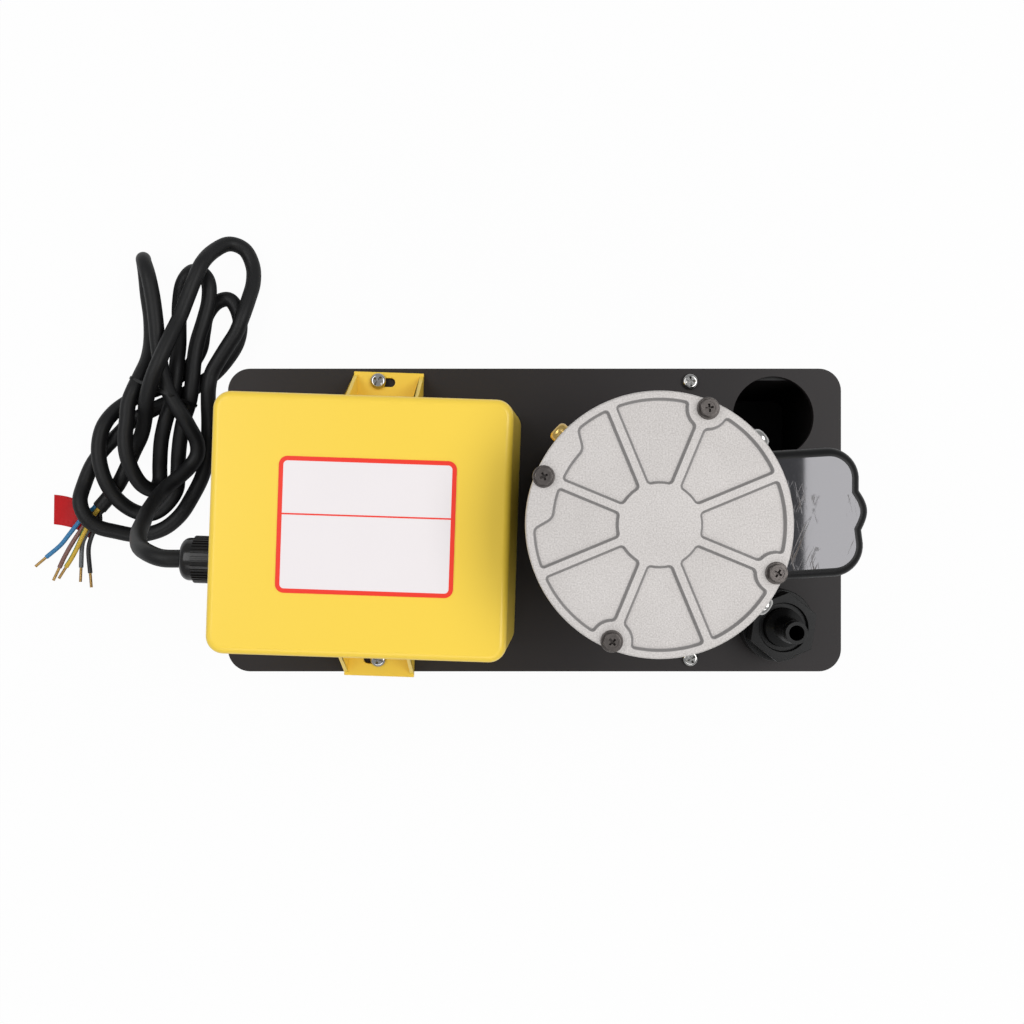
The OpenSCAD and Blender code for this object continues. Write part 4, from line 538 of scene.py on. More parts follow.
bpy.ops.object.mode_set(mode="OBJECT")
wall = cover.modifiers.new("wall", "SOLIDIFY")
wall.thickness = COVER_WALL
wall.offset = -1
apply_modifiers(cover)
print("cover", len(cover.data.polygons), "faces")

# %% [markdown]
# ### Feet and gussets
# Each long side of the cover stands on a foot with a slot for its screw, and two upright
# gussets brace the foot. The slot is cut by a block whose ends are rounded. A gusset is a
# thin block whose outer top edge is pushed in, which makes it a triangle.

# %% Helpers that round edges, and cut, join or intersect
def bevel_edges(piece, width, segments, test):
    """Round the edges that pass the test."""
    alone(piece)
    bpy.ops.object.mode_set(mode="EDIT")
    pick(piece, "EDGE", test)
    bpy.ops.mesh.bevel(offset=width, segments=segments, affect="EDGES")
    bpy.ops.object.mode_set(mode="OBJECT")


def combine(piece, other, how="DIFFERENCE"):
    """Cut, join or intersect with another object, which is then used up."""
    tool = piece.modifiers.new("tool", "BOOLEAN")
    tool.object = other
    tool.operation = how
    tool.solver = "EXACT"
    apply_modifiers(piece)
    bpy.data.objects.remove(other)
    return piece


# %% Feet with slots, and the gussets that brace them
FOOT_HALF, FOOT_OUT, FOOT_T = 0.01875, 0.0815, 0.0025
GUSSET_OUT, GUSSET_T, GUSSET_H = FOOT_OUT - 0.0005, 0.0022, 0.046
SLOT_X, SLOT_Y, SLOT_SIZE, SLOT_R = -0.0025, {1: 0.0761, -1: -0.0725}, (0.012, 0.0047), 0.0023
BITE = 0.0012

feet = []
for side in (1, -1):
    inner = side * (COVER_SIZE[1] / 2 - BITE)
    reach = FOOT_OUT - abs(inner)
    foot = block("foot", (2 * FOOT_HALF, reach, FOOT_T),
                 (0, (inner + side * FOOT_OUT) / 2, FOOT_T / 2))
    slot = block("slot", (*SLOT_SIZE, 4 * FOOT_T), (SLOT_X, SLOT_Y[side], 0))
    bevel_edges(slot, SLOT_R, 6, lambda edge, middle: abs(middle.z) < HAIR)
    feet.append(combine(foot, slot))
    reach = GUSSET_OUT - abs(inner)
    for across in (-1, 1):
        gusset = block("gusset", (GUSSET_T, reach, GUSSET_H),
                       (across * (FOOT_HALF - GUSSET_T / 2), (inner + side * GUSSET_OUT) / 2,
                        GUSSET_H / 2))
        bpy.ops.object.mode_set(mode="EDIT")
        pick(gusset, "EDGE", lambda edge, middle: middle.z > GUSSET_H - HAIR
             and abs(middle.y) > abs(inner) + 0.01)
        bpy.ops.transform.translate(value=(0, -side * (reach + BITE), 0))
        bpy.ops.object.mode_set(mode="OBJECT")
        feet.append(gusset)
for piece in feet:
    soften(piece, 0.0004, 30)
joined(cover, feet)
cover.rotation_euler = (0, 0, COVER_TURN)
cover.location = COVER_PLACE
settle(cover, "pump", yellow, smooth=35)
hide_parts("switch_cover")
print("cover with its feet", len(cover.data.polygons), "faces")

# %% [markdown]
# ## The blank label
# A white panel with round corners, a red border and one red dividing line. It stays blank.
# Three flat pieces make it, each a little higher than the last, so it needs no image.

# %% Label panel, border and dividing line
label_white = finish("label film", (0.90, 0.85, 0.855), (0.88, 0.83, 0.835),
                     (0.22, 0.28), patches=40, bump=0.01)
label_red = finish("label border", (0.93, 0.048, 0.025), (0.90, 0.040, 0.020),
                   (0.22, 0.28), patches=40, bump=0.01)
LABEL_SIZE, LABEL_MIDDLE, LABEL_R, LABEL_BORDER = (0.0799, 0.0615), (0.0032, 0), 0.0039, 0.002
LABEL_T, PRINT_T, DIVIDER_W, DIVIDER_AT = 0.0005, 0.0001, 0.0007, 0.422


def rounded_plate(name, size, radius, low, high):
    plate = block(name, (*size, high - low), (*LABEL_MIDDLE, (low + high) / 2))
    bevel_edges(plate, radius, 8,
                lambda edge, at: abs(edge.verts[0].co.z - edge.verts[1].co.z) > TINY)
    return plate


def on_cover(piece, material):
    piece.rotation_euler = (0, 0, COVER_TURN)
    piece.location = COVER_PLACE + Vector((0, 0, COVER_SIZE[2]))
    settle(piece, "pump", material, smooth=30)
    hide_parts("label_panel")


field = [side - 2 * LABEL_BORDER for side in LABEL_SIZE]
panel = rounded_plate("label_field", LABEL_SIZE, LABEL_R, 0, LABEL_T)
on_cover(panel, label_white)
border = rounded_plate("label_border", LABEL_SIZE, LABEL_R, LABEL_T, LABEL_T + PRINT_T)
combine(border, rounded_plate("hole", field, LABEL_R / 2, 0, 4 * LABEL_T))
on_cover(border, label_red)
divider = block("label_divider", (field[0], DIVIDER_W, PRINT_T),
                (LABEL_MIDDLE[0], LABEL_SIZE[1] * (0.5 - DIVIDER_AT), LABEL_T + PRINT_T / 2))
on_cover(divider, label_red)
print("label at", tuple(round(v, 4) for v in panel.bound_box[6]))

# %% [markdown]
# ## The ribbed motor cap
# A die casting with a flat hub, eight spokes and shallow pockets between them, whose
# corners and floors are round. A pocket starts as a slice of a disc: two bisect cuts along
# the spokes, with the hub and the screw pads taken out. Bevels of two kinds meet badly in
# its sharp corners, so only its outline is kept. Curves replace the outline's corners, and
# it is raised into a cutter that narrows in small steps and so rounds the pocket's floor.

# %% Sizes and solids that the cap is made of
MOTOR = Vector((0.0492, -0.001, 0))
CAP_TOP, CAP_FOOT, CAP_R, CAP_WALL, CAP_ROOF = 0.26, 0.24, 0.0557, 0.0031, 0.005
BEARING_SEAT_R, BEARING_R = 0.019, 0.016
SCREW_ANGLES = [67.5, 157.5, 247.5, 337.5]
SCREW_CIRCLE, PAD_R = 0.0522, 0.008
HUB_R, POCKET_R, HALF_SPOKE, POCKET_DEEP = 0.017, 0.0527, 0.0015, 0.002
FIRST_SPOKE, PITCH = 22.5, 45


def disc(name, radius, low, high, at=(0, 0), facets=96):
    bpy.ops.object.select_all(action="DESELECT")
    bpy.ops.mesh.primitive_cylinder_add(vertices=facets, radius=radius, depth=high - low,
                                        location=(at[0], at[1], (low + high) / 2))
    piece = bpy.context.object
    piece.name = name
    return fixed(piece)


def polar(radius, angle):
    return (radius * cos(radians(angle)), radius * sin(radians(angle)))


def halved(piece, point, normal):
    """Keep the part of a solid that lies on the normal's side of a plane."""
    alone(piece)
    bpy.ops.object.mode_set(mode="EDIT")
    bpy.ops.mesh.select_all(action="SELECT")
    bpy.ops.mesh.bisect(plane_co=point, plane_no=normal, use_fill=True, clear_inner=True)
    bpy.ops.object.mode_set(mode="OBJECT")


# %% Outlines with round corners
def rounded_outline(points, trim, bend=18, steps=5):
    """Replace each corner of a closed outline by a curve that starts trim before it."""
    count = len(points)
    points = [Vector(p) for p in points]
    ways = [(points[(i + 1) % count] - points[i]).normalized() for i in range(count)]
    corners = [i for i in range(count) if ways[i - 1].angle(ways[i]) > radians(bend)]
    sides = []
    for here, there in zip(corners, corners[1:] + [corners[0] + count]):
        run = [points[i % count] for i in range(here, there + 1)]
        legs = [(b - a).length for a, b in zip(run, run[1:])]
        short = min(trim, 0.45 * sum(legs))

        def along(distance):
            for a, b, leg in zip(run, run[1:], legs):
                if distance <= leg or b is run[-1]:
                    return a.lerp(b, distance / leg)
                distance -= leg

        walked, kept = 0, [along(short)]
        for knot, leg in zip(run[1:-1], legs):
            walked += leg
            if short < walked < sum(legs) - short:
                kept.append(knot)
        kept.append(along(sum(legs) - short))
        sides.append((kept, run[-1]))
    outline = []
    for i, (kept, corner) in enumerate(sides):
        outline += kept
        start, end = kept[-1], sides[(i + 1) % len(sides)][0][0]
        pull = [start.lerp(corner, 0.55), end.lerp(corner, 0.55)]
        for k in range(1, steps):
            t = k / steps
            outline.append((1 - t) ** 3 * start + 3 * t * (1 - t) ** 2 * pull[0]
                           + 3 * t * t * (1 - t) * pull[1] + t ** 3 * end)
    return outline


# %% Outlines raised into solids
def raised(name, outline, low, high, profile):
    """Extrude an outline from low to high; profile lists (inward, upward) steps that end it."""
    mesh = bpy.data.meshes.new(name)
    mesh.from_pydata([(p.x, p.y, low) for p in outline], [], [list(range(len(outline)))])
    piece = bpy.data.objects.new(name, mesh)
    scene.collection.objects.link(piece)
    alone(piece)
    bpy.ops.object.mode_set(mode="EDIT")
    bpy.ops.mesh.select_all(action="SELECT")
    bpy.ops.mesh.extrude_region_move(TRANSFORM_OT_translate={"value": (0, 0, high - low)})
    for inward, upward in profile:
        bpy.ops.mesh.inset(thickness=inward, depth=0)
        bpy.ops.transform.translate(value=(0, 0, upward))
    bpy.ops.mesh.select_all(action="SELECT")
    bpy.ops.mesh.remove_doubles(threshold=TINY)
    bpy.ops.mesh.normals_make_consistent(inside=False)
    bpy.ops.object.mode_set(mode="OBJECT")
    return piece


# %% The slice, and the wider pad of one screw
SLICE_T = 0.001
# A wider pad stands round the screw at 157.5 degrees: its inner radius, and for each side
# the angle where the side starts, the angle where it ends, and the way it faces.
WIDE_AT, WIDE_INNER_R, WIDE_OUTER_R = 157.5, 0.045, 0.06
WIDE_SIDES = ((136, 131, 1), (176, 181.5, -1))


def slice_disc(name, radius, at=(0, 0), facets=96, beyond=0.001):
    """A disc for cutting the thin slice: it reaches beyond the slice on both sides."""
    return disc(name, radius, -beyond, SLICE_T + beyond, at, facets)


def wide_pad():
    pad = slice_disc("wide pad", WIDE_OUTER_R, facets=180)
    combine(pad, slice_disc("inside", WIDE_INNER_R, facets=180, beyond=0.002))
    for inner, outer, way in WIDE_SIDES:
        start = Vector((*polar(WIDE_INNER_R, inner), 0))
        side = (Vector((*polar(POCKET_R, outer), 0)) - start).normalized()
        halved(pad, start, Vector((-side.y, side.x, 0)) * way)
    return pad


# %% One pocket between two spokes, as a cutter
TRIM = 0.0019
WALL_STEPS = [(0.00012, -0.00006), (0.00014, -0.00018), (0.00018, -0.0004), (0.0002, -0.0006),
              (0.00018, -0.0004), (0.00016, -0.00025), (0.00024, -0.00011)]


def pocket(first):
    cutter = slice_disc("pocket", POCKET_R, facets=180, beyond=0)
    for turn, way in ((first, 1), (first + PITCH, -1)):
        normal = Vector((-sin(radians(turn)), cos(radians(turn)), 0)) * way
        halved(cutter, HALF_SPOKE * normal, normal)
    combine(cutter, slice_disc("hub", HUB_R))
    beside = [first, first + PITCH, first - 360]
    for angle in SCREW_ANGLES:
        if any(abs(angle - spoke) < 1 for spoke in beside):
            pad = wide_pad() if angle == WIDE_AT else slice_disc(
                "pad", PAD_R, polar(SCREW_CIRCLE, angle), 64)
            combine(cutter, pad)
    bpy.ops.object.mode_set(mode="EDIT")
    bpy.ops.mesh.select_all(action="SELECT")
    bpy.ops.mesh.remove_doubles(threshold=2e-5)
    bpy.ops.mesh.dissolve_limited(angle_limit=radians(0.5))
    bpy.ops.object.mode_set(mode="OBJECT")
    mesh = cutter.data
    top = max((f for f in mesh.polygons if f.normal.z > 0.9), key=lambda face: face.area)
    outline = rounded_outline([mesh.vertices[i].co.to_2d() for i in top.vertices], TRIM)
    bpy.data.objects.remove(cutter)
    return raised("pocket", outline, CAP_TOP + 0.002, CAP_TOP, WALL_STEPS)


pockets, *others = [pocket(FIRST_SPOKE + PITCH * k) for k in range(8)]
joined(pockets, others)
print("pocket cutters", len(pockets.data.polygons), "faces")

# %% The cap itself: a disc, hollow below, with the pockets cut in
cap = disc("end_cap_casting", CAP_R, CAP_FOOT, CAP_TOP, facets=192)
bevel_edges(cap, 0.0009, 3, lambda edge, at: at.z > CAP_TOP - TINY and hypot(*at.xy) > POCKET_R)
combine(cap, disc("hollow", CAP_R - CAP_WALL, CAP_FOOT - 0.002, CAP_TOP - CAP_ROOF, facets=128))
combine(cap, disc("bearing seat", BEARING_SEAT_R, CAP_FOOT + 0.0015, CAP_TOP - 0.004, facets=64),
        "UNION")
combine(cap, disc("bearing bore", BEARING_R, CAP_FOOT - 0.002, CAP_TOP - 0.007, facets=64))
combine(cap, pockets)
cap.location = MOTOR
settle(cap, "pump", cast, smooth=30)
# The pocket walls and their rounded floor edges take the darker grey: painted shade in the
# recesses.
cap.data.materials.append(pocket_wall_painted_shade)
for face in cap.data.polygons:
    out = hypot(face.center.x - MOTOR.x, face.center.y - MOTOR.y)
    in_pocket = out < POCKET_R + 0.0004 and face.center.z > CAP_TOP - POCKET_DEEP - HAIR
    if in_pocket and face.normal.z < 0.93:
        face.material_index = 1
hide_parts("end_cap")
print("cap", len(cap.data.polygons), "faces")

# %% [markdown]
# ## Screws
# Two kinds hold the pump together: pan heads with a cross recess in the lid and the sides,
# and flanged hexagon heads in the cap. Each is turned from a cylinder, its top edge is
# rounded, the recess is cut with two crossed bars, and copies of it go to their places.

# %% Cross recess and shank
def top_rim(height, radius):
    """A test for the edges round the top of an upright cylinder."""
    return lambda edge, at: at.z > height - TINY and hypot(*at.xy) > radius


def recess(width, length, low, high):
    """A cross of two bars that get narrower towards the bottom."""
    bars = [block("bar", (length, width, high - low), (0, 0, (low + high) / 2)) for _ in range(2)]
    bars[1].rotation_euler = (0, 0, pi / 2)
    for bar in bars:
        fixed(bar)
        bpy.ops.object.mode_set(mode="EDIT")
        pick(bar, "FACE", lambda face, at: at.z < low + TINY)
        bpy.ops.transform.resize(value=(0.55, 0.55, 1))
        bpy.ops.object.mode_set(mode="OBJECT")
    return combine(bars[0], bars[1], "UNION")


def on_shank(head, radius, length):
    return combine(head, disc("shank", radius, -length, 0.0002, facets=24), "UNION")


# %% Pan heads and hexagon heads
def pan_head(radius, height, shank_r, shank_l):
    head = disc("pan_head", radius, 0, height, facets=48)
    bevel_edges(head, 0.62 * height, 6, top_rim(height, 0.9 * radius))
    combine(head, recess(width=0.3 * radius, length=1.45 * radius, low=0.1 * height,
                         high=1.3 * height))
    return on_shank(head, shank_r, shank_l)


def hex_head(across, height, flange_r, flange_t, shank_r, shank_l):
    head = disc("hex_head", across / 3 ** 0.5, 0, height, facets=6)
    crown = disc("crown", 0.56 * across, -0.001, height, facets=48)
    bevel_edges(crown, 0.0006, 3, top_rim(height, 0.5 * across))
    combine(head, crown, "INTERSECT")
    combine(head, disc("dish", 0.36 * across, height - 0.0003, height + 0.001, facets=40))
    combine(head, recess(width=0.0011, length=0.6 * across, low=0.3 * height,
                         high=height + 0.001))
    flange = disc("flange", flange_r, 0, flange_t, facets=48)
    bevel_edges(flange, 0.45 * flange_t, 3, top_rim(flange_t, 0.9 * flange_r))
    combine(head, flange, "UNION")
    return on_shank(head, shank_r, shank_l)


# %% A copy of a screw in its place
def placed(model, name, place, node, material, aim=(0, 0, 1), turn=0):
    """A copy with its own mesh, its axis along aim, standing at place."""
    piece = bpy.data.objects.new(name, model.data.copy())
    scene.collection.objects.link(piece)
    piece.rotation_mode = "QUATERNION"
    spin = Matrix.Rotation(radians(turn), 3, "Z").to_quaternion()
    piece.rotation_quaternion = Vector(aim).to_track_quat("Z", "X") @ spin
    piece.location = place
    settle(piece, "pump", material, smooth=35)
    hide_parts(node)


# %% Screws of the cap and the lid
model = hex_head(across=0.007, height=0.0036, flange_r=0.0047, flange_t=0.0010, shank_r=0.002,
                 shank_l=0.024)
for i, angle in enumerate(SCREW_ANGLES):
    at = MOTOR + Vector((*polar(SCREW_CIRCLE, angle), CAP_TOP))
    placed(model, "cap_screw_%d" % i, at, "end_cap_screws", dark_zinc,
           turn=17 * i + 8)
bpy.data.objects.remove(model)

LID_SCREW_X, LID_SCREW_Y = 0.08375, 0.0743
model = pan_head(radius=0.0043, height=0.0028, shank_r=0.002, shank_l=0.0175)
for i, (x, y, z) in enumerate([(1, 1, LID_TOP), (1, -1, LID_TOP),
                               (-1, 1, LID_TOP + FOOT_T), (-1, -1, LID_TOP + FOOT_T)]):
    placed(model, "lid_screw_%d" % i, (x * LID_SCREW_X, y * LID_SCREW_Y, z), "lid_screws",
           bright_zinc, turn=23 * i + 5)
bpy.data.objects.remove(model)
print("screws of the cap and the lid placed")

# %% Screws of the rim and the shell
RIM_Z = CAP_TOP - 0.0105
model = pan_head(radius=0.0043, height=0.0034, shank_r=0.002, shank_l=0.007)
for name, angle, node, slot, material in (
        ("rim_screw_0", 39.9, "rim_screws", "bright_screw", bright_zinc),
        ("rim_screw_1", -37.1, "rim_screws", "bright_screw", bright_zinc),
        ("earth_screw_head", 136.7, "earth_screw", "brass", earth_brass)):
    aim = Vector((*polar(1, angle), 0))
    at = MOTOR + aim * CAP_R + Vector((0, 0, RIM_Z))
    placed(model, name, at, node, material, aim, turn=angle)
bpy.data.objects.remove(model)

SHELL_R, BAND_T, SHELL_LOW, BAND_HIGH = 0.0536, 0.0015, 0.122, 0.226
CAPACITOR_TURN = 3.5
side_screws = [(angle, SHELL_R, SHELL_LOW) for angle in (45, 135, 225, 315)]
side_screws += [(CAPACITOR_TURN + angle, SHELL_R + BAND_T, BAND_HIGH) for angle in (-20, 20)]
model = pan_head(radius=0.0034, height=0.0022, shank_r=0.00175, shank_l=0.006)
for i, (angle, out, z) in enumerate(side_screws):
    aim = Vector((*polar(1, angle), 0))
    at = MOTOR + aim * out + Vector((0, 0, z))
    placed(model, "shell_screw_%d" % i, at, "shell_screws", bright_zinc, aim,
           turn=31 * i)
bpy.data.objects.remove(model)
print(len(side_screws), "screws in the shell and its band")

# %% [markdown]
# ## The capacitor cover
# A glossy black cap moulded in one piece. Its plan has two large round corners and a
# swelling in the middle of its face, and a soft edge runs round its flat top. Its plan is
# drawn as a polygon, its corners are rounded, and it is raised with a quarter-round edge.

# %% Plan of the cover
COVER_HALF, REACH, PLAN_START = 0.0299, 0.1003, 0.03
BUMP, BUMP_HALF, BUMP_STEPS, WAIST_DIP = 0.0029, 0.0092, 8, 0.0004


def cover_plan(out, corner):
    """Plan of the cover, out wider all round: round corners first, then the swelling."""
    half, reach = COVER_HALF + out, REACH + out
    corners = [(PLAN_START, -half), (reach, -half), (reach, half), (PLAN_START, half)]
    box = rounded_outline(corners, corner, steps=12)
    first = next(i for i, p in enumerate(box) if p.x > reach - TINY)
    swelling = []
    for k in range(-BUMP_STEPS, BUMP_STEPS + 1):
        bulge = cos(pi / 2 * k / BUMP_STEPS)
        swelling.append(Vector((reach - WAIST_DIP + (WAIST_DIP + BUMP) * bulge,
                                (BUMP_HALF + out) * k / BUMP_STEPS)))
    return box[:first + 1] + swelling + box[first + 1:]


# %% Body of the cover
CAPACITOR_FOOT, CAPACITOR_TOP = 0.125, 0.205
EDGE_R, EDGE_STEPS, CORNER_R, SKIN_T = 0.0042, 8, 0.0145, 0.002
LIP_OUT, LIP_T, LIP_EDGE = 0.0015, 0.0025, 0.0005
BAND_R, INLET_AT, INLET_ROOM = 0.0554, (0.1285, 0.0555), 0.0218
quarter = [radians(90) * k / EDGE_STEPS for k in range(EDGE_STEPS + 1)]
EDGE = [(EDGE_R * (cos(a) - cos(b)), EDGE_R * (sin(b) - sin(a)))
        for a, b in zip(quarter, quarter[1:])]

body = raised("capacitor_cover_shell", cover_plan(0, CORNER_R), CAPACITOR_FOOT + 0.001,
              CAPACITOR_TOP - EDGE_R, EDGE)
inside = raised("inside", cover_plan(-SKIN_T, CORNER_R - SKIN_T), CAPACITOR_FOOT - 0.001,
                CAPACITOR_TOP - SKIN_T, [(0.0002, 0)])
lip = raised("lip", cover_plan(LIP_OUT, CORNER_R + LIP_OUT), CAPACITOR_FOOT,
             CAPACITOR_FOOT + LIP_T, [(LIP_EDGE, LIP_EDGE)])
for piece in (body, inside, lip):
    piece.rotation_euler = (0, 0, radians(CAPACITOR_TURN))
    piece.location = MOTOR
    fixed(piece)
combine(lip, disc("way to the inlet", INLET_ROOM, CAPACITOR_FOOT - 0.001,
                  CAPACITOR_FOOT + 0.004, INLET_AT))
combine(body, lip, "UNION")
combine(body, disc("motor side", BAND_R, CAPACITOR_FOOT - 0.002, CAPACITOR_TOP + 0.002,
                   MOTOR.xy, facets=128))
combine(body, inside)
print("capacitor cover", len(body.data.polygons), "faces")

# %% [markdown]
# ### Gloss with scuffs
# The cover mirrors the lamp above it, and handling has left dull scuffs in that mirror. A
# noise that is stretched along one direction gives streaks, a second one keeps them in
# patches, and where both are high the surface is rougher and a little brown.

# %% Streaks in two directions, kept in patches
gloss = bpy.data.materials.new("glossy black with scuffs")
gloss.use_nodes = True
tree = gloss.node_tree
link = tree.links.new
place = add_node(tree, "TexCoord")
both = add_node(tree, "Math")
both.operation = "MAXIMUM"
for i, (turn, size) in enumerate(((66, (0.03, 0.0011, 0.03)), (-78, (0.022, 0.0009, 0.022)))):
    stretch = add_node(tree, "Mapping")
    stretch.vector_type = "TEXTURE"
    stretch.inputs["Rotation"].default_value = (0, 0, radians(turn))
    stretch.inputs["Scale"].default_value = size
    noise = add_node(tree, "TexNoise", Scale=1, Detail=2, Distortion=0.6)
    streaks = add_node(tree, "MapRange", From_Min=0.59, From_Max=0.65)
    link(place.outputs["Object"], stretch.inputs["Vector"])
    link(stretch.outputs["Vector"], noise.inputs["Vector"])
    link(noise.outputs["Fac"], streaks.inputs["Value"])
    link(streaks.outputs["Result"], both.inputs[i])
patch = add_node(tree, "TexNoise", Scale=55, Detail=5)
patches = add_node(tree, "MapRange", From_Min=0.49, From_Max=0.58)
scuff = add_node(tree, "Math")
scuff.operation = "MULTIPLY"
link(place.outputs["Object"], patch.inputs["Vector"])
link(patch.outputs["Fac"], patches.inputs["Value"])
link(both.outputs["Value"], scuff.inputs[0])
link(patches.outputs["Result"], scuff.inputs[1])

# %% Colour and roughness of the gloss, and a duller black round its foot
shader = tree.nodes["Principled BSDF"]
shader.inputs["IOR"].default_value = 1.9
shader.inputs["Specular Tint"].default_value = (0.98, 0.965, 1, 1)
skin = color_mix(tree, (0.006, 0.006, 0.008), (0.075, 0.058, 0.045))
dull = add_node(tree, "MapRange", To_Min=0.035, To_Max=0.9)
link(scuff.outputs["Value"], skin.inputs["Factor"])
link(skin.outputs["Result"], shader.inputs["Base Color"])
link(scuff.outputs["Value"], dull.inputs["Value"])
link(dull.outputs["Result"], shader.inputs["Roughness"])
settle(body, "pump", gloss, smooth=30)
body.data.materials.append(black_moulding)
for face in body.data.polygons:
    if face.normal.z < 0.996:
        face.material_index = 1
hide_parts("capacitor_cover")
print("glossy faces", sum(face.material_index == 0 for face in body.data.polygons))

# %% [markdown]
# ## The gland nut
# The nut that grips the cable has a ribbed collar to turn it by and a smooth domed nose.
# The collar is a cylinder with every other face of its wall pushed out, and the nose is a
# cylinder whose edge is rounded in wide steps.

# %% Ribbed collar
COLLAR_R, RIB_H, RIBS, NOSE_R, BORE_R = 0.0121, 0.0006, 40, 0.0109, 0.0049
SEAT_L, COLLAR_L, NOSE_L = 0.008, 0.013, 0.0067
COLLAR_END = SEAT_L + COLLAR_L
collar = disc("gland_nut_ribbed", COLLAR_R - RIB_H, SEAT_L, COLLAR_END, facets=2 * RIBS)
bpy.ops.object.mode_set(mode="EDIT")
mesh = bmesh.from_edit_mesh(collar.data)
walls = [f for f in mesh.faces if abs(f.normal.z) < 0.1]
walls.sort(key=lambda face: face.calc_center_median().xy.angle_signed(Vector((1, 0))))
for i, face in enumerate(walls):
    face.select_set(i % 2 == 0)
for face in mesh.faces:
    if abs(face.normal.z) > 0.9:
        face.select_set(False)
bmesh.update_edit_mesh(collar.data)
bpy.ops.mesh.inset(thickness=0.00012, depth=RIB_H, use_individual=True)
bpy.ops.object.mode_set(mode="OBJECT")
print("collar", len(collar.data.polygons), "faces")

# %% Domed nose, bore, and the nut's place on the cover's leaning wall
GLAND_Y, GLAND_Z, GLAND_LOW = -0.0205, 0.035, 0.0115
nose = disc("nose", NOSE_R, COLLAR_END - 0.001, COLLAR_END + NOSE_L, facets=64)
bevel_edges(nose, 0.0042, 7, top_rim(COLLAR_END + NOSE_L, 0.9 * NOSE_R))
combine(collar, nose, "UNION")
combine(collar, disc("bore", BORE_R, SEAT_L - 0.001, 0.03, facets=48))
wall_x = COVER_SIZE[0] / 2 - COVER_LEAN[0] * (GLAND_Z - GLAND_LOW) / COVER_SIZE[2]
collar.rotation_euler = (0, radians(-90), 0)
collar.location = (-wall_x, GLAND_Y, GLAND_Z)
fixed(collar)
collar.rotation_euler = (0, 0, COVER_TURN)
collar.location = COVER_PLACE
settle(collar, "pump", gland_black, smooth=40)
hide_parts("gland_nut")
print("gland nut", len(collar.data.polygons), "faces")

# %% [markdown]
# ## The strap
# A thin strap goes round the upper runs of the bundle, under the topmost one. It is cut
# from a convex hull round the places where the cable crosses the strap's slanting plane.

# %% A convex hull round points, and circles to build it from
def hull_of(name, points):
    mesh = bpy.data.meshes.new(name)
    mesh.from_pydata([tuple(p) for p in points], [], [])
    piece = bpy.data.objects.new(name, mesh)
    scene.collection.objects.link(piece)
    alone(piece)
    bpy.ops.object.mode_set(mode="EDIT")
    bpy.ops.mesh.select_all(action="SELECT")
    bpy.ops.mesh.convex_hull()
    bpy.ops.mesh.normals_make_consistent(inside=False)
    bpy.ops.object.mode_set(mode="OBJECT")
    return piece


def circle(center, axis, radius, count=24):
    across = axis.orthogonal().normalized()
    over = axis.cross(across).normalized()
    angles = [tau * k / count for k in range(count)]
    return [center + radius * (cos(a) * across + sin(a) * over) for a in angles]


# %% Where the cable's upper runs cross the plane of the strap
STRAP_X, STRAP_Z = (-0.25, -0.195), (0.012, 0.031)
strap_at = Vector((-0.22, 0.0755, 0))
strap_axis = Vector((0.40, 0.916, 0)).normalized()
knots = cable.data.splines[0].bezier_points
line = []
for a, b in zip(knots, knots[1:]):
    line += interpolate_bezier(a.co, a.handle_right, b.handle_left, b.co, 17)[:-1]
runs = []
for a, b in zip(line, line[1:]):
    before, after = (a - strap_at).dot(strap_axis), (b - strap_at).dot(strap_axis)
    held = STRAP_Z[0] < a.z < STRAP_Z[1] and STRAP_X[0] < a.x < STRAP_X[1]
    if before * after < 0 and held:
        runs.append(a.lerp(b, before / (before - after)))
print("runs in the strap", [tuple(round(1000 * c, 1) for c in p) for p in runs])

# %% The strap round those runs
STRAP_W, STRAP_T, STRAP_ROOM = 0.0018, 0.0005, 0.0001


def strap_hull(name, room, half):
    points = []
    for run in runs:
        for side in (-1, 1):
            points += circle(run + side * half * strap_axis, strap_axis, CABLE_D / 2 + room)
    return hull_of(name, points)


strap = strap_hull("bundle_strap", STRAP_ROOM + STRAP_T, STRAP_W / 2)
combine(strap, strap_hull("inside", STRAP_ROOM, STRAP_W))
settle(strap, "pump", tie_black, smooth=40)
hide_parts("cable_tie")
print("strap", len(strap.data.polygons), "faces")

# %% [markdown]
# ## The tag
# The tag is a folded red film. It wraps two of the cores, and its free end lies under the
# others and lifts a little. The fold is a hull round both cores with a smaller hull cut
# out, and the free end is a grid between two curved edges that gets its thickness last.

# %% Sleeve of the tag
FILM_T, SLEEVE_ROOM = 0.0003, 0.0004
wrapped = [cores[name][3][:2] for name in ("grey", "black")]


def sleeve_hull(name, room, more):
    points = []
    for start, end in wrapped:
        start, end = Vector(start), Vector(end)
        way = (end - start).normalized()
        for place in (start - more * way, end + more * way):
            points += circle(place, way, CORE_D / 2 + room)
    return hull_of(name, points)


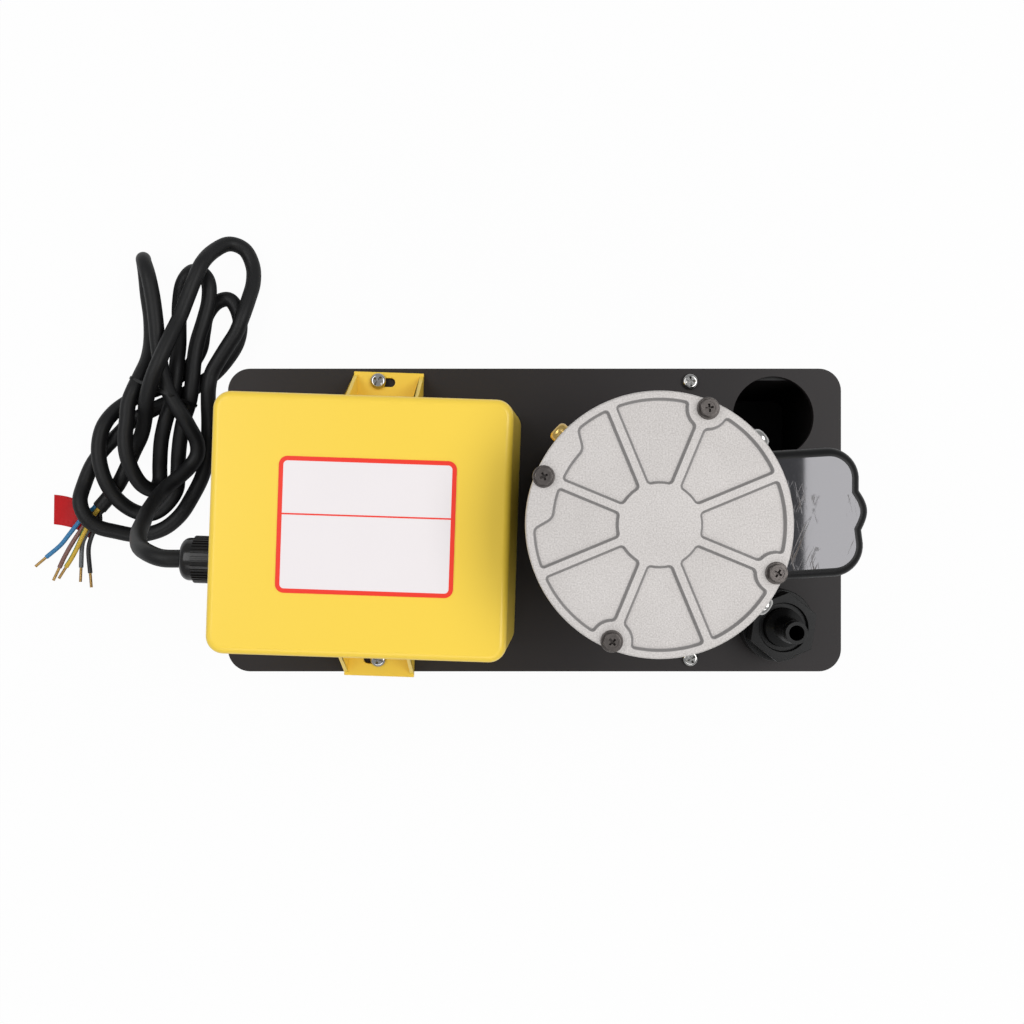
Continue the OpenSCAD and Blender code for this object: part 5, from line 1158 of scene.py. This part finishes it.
tag = sleeve_hull("core_tag", SLEEVE_ROOM + FILM_T, 0)
combine(tag, sleeve_hull("inside", SLEEVE_ROOM, 0.003))
print("sleeve", len(tag.data.polygons), "faces")

# %% Free end of the tag
UPPER = [Vector((-0.2735, -0.004)), Vector((-0.276, 0.0135)), Vector((-0.299, 0.0152))]
LOWER = [Vector((-0.2778, -0.0125)), Vector((-0.283, -0.0052)), Vector((-0.3, -0.0034))]
FILM_Z, FILM_LIFT = 0.0009, 0.0022


def edge_at(curve, t):
    """A point of a quadratic curve through its first and last point."""
    return (1 - t) ** 2 * curve[0] + 2 * t * (1 - t) * curve[1] + t * t * curve[2]


bpy.ops.mesh.primitive_grid_add(x_subdivisions=20, y_subdivisions=8, size=1)
film = bpy.context.object
for vertex in film.data.vertices:
    along, up = vertex.co.x + 0.5, vertex.co.y + 0.5
    flat = edge_at(LOWER, along).lerp(edge_at(UPPER, along), up)
    vertex.co = (flat.x, flat.y, FILM_Z + FILM_LIFT * along ** 3 * up)
film.modifiers.new("film", "SOLIDIFY").thickness = FILM_T
apply_modifiers(film)
joined(tag, [film])
settle(tag, "pump", red_film, smooth=40)
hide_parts("cable_tag")
print("tag", len(tag.data.polygons), "faces")

# %% [markdown]
# ## The cords
# The earth core is yellow with a green stripe, a thinner tube that lies half sunk in the
# core's skin. Then each core lists what rides on it: its copper end, and the tag or the stripe.

# %% Green stripe of the earth core
stripe_green = finish("green stripe", (0.10, 0.26, 0.07), (0.08, 0.2, 0.05), (0.3, 0.4),
                      patches=200, bump=0.03)
STRIPE_D, STRIPE_OUT = 0.0011, Vector((-0.00078, 0.00030, 0.00062))
earth_route = [Vector(p) + STRIPE_OUT for p in cores["earth"][3]]
stripe = tube("earth_stripe", earth_route, STRIPE_D, stripe_green, sides=4)
print("stripe", round(curve_length(stripe), 4), "m")

# %% What rides on each core
for name, (wire, start, riders) in wires.items():
    riders += {"grey": [tag], "earth": [stripe]}.get(name, [])
print("cords declared", 1 + len(wires))
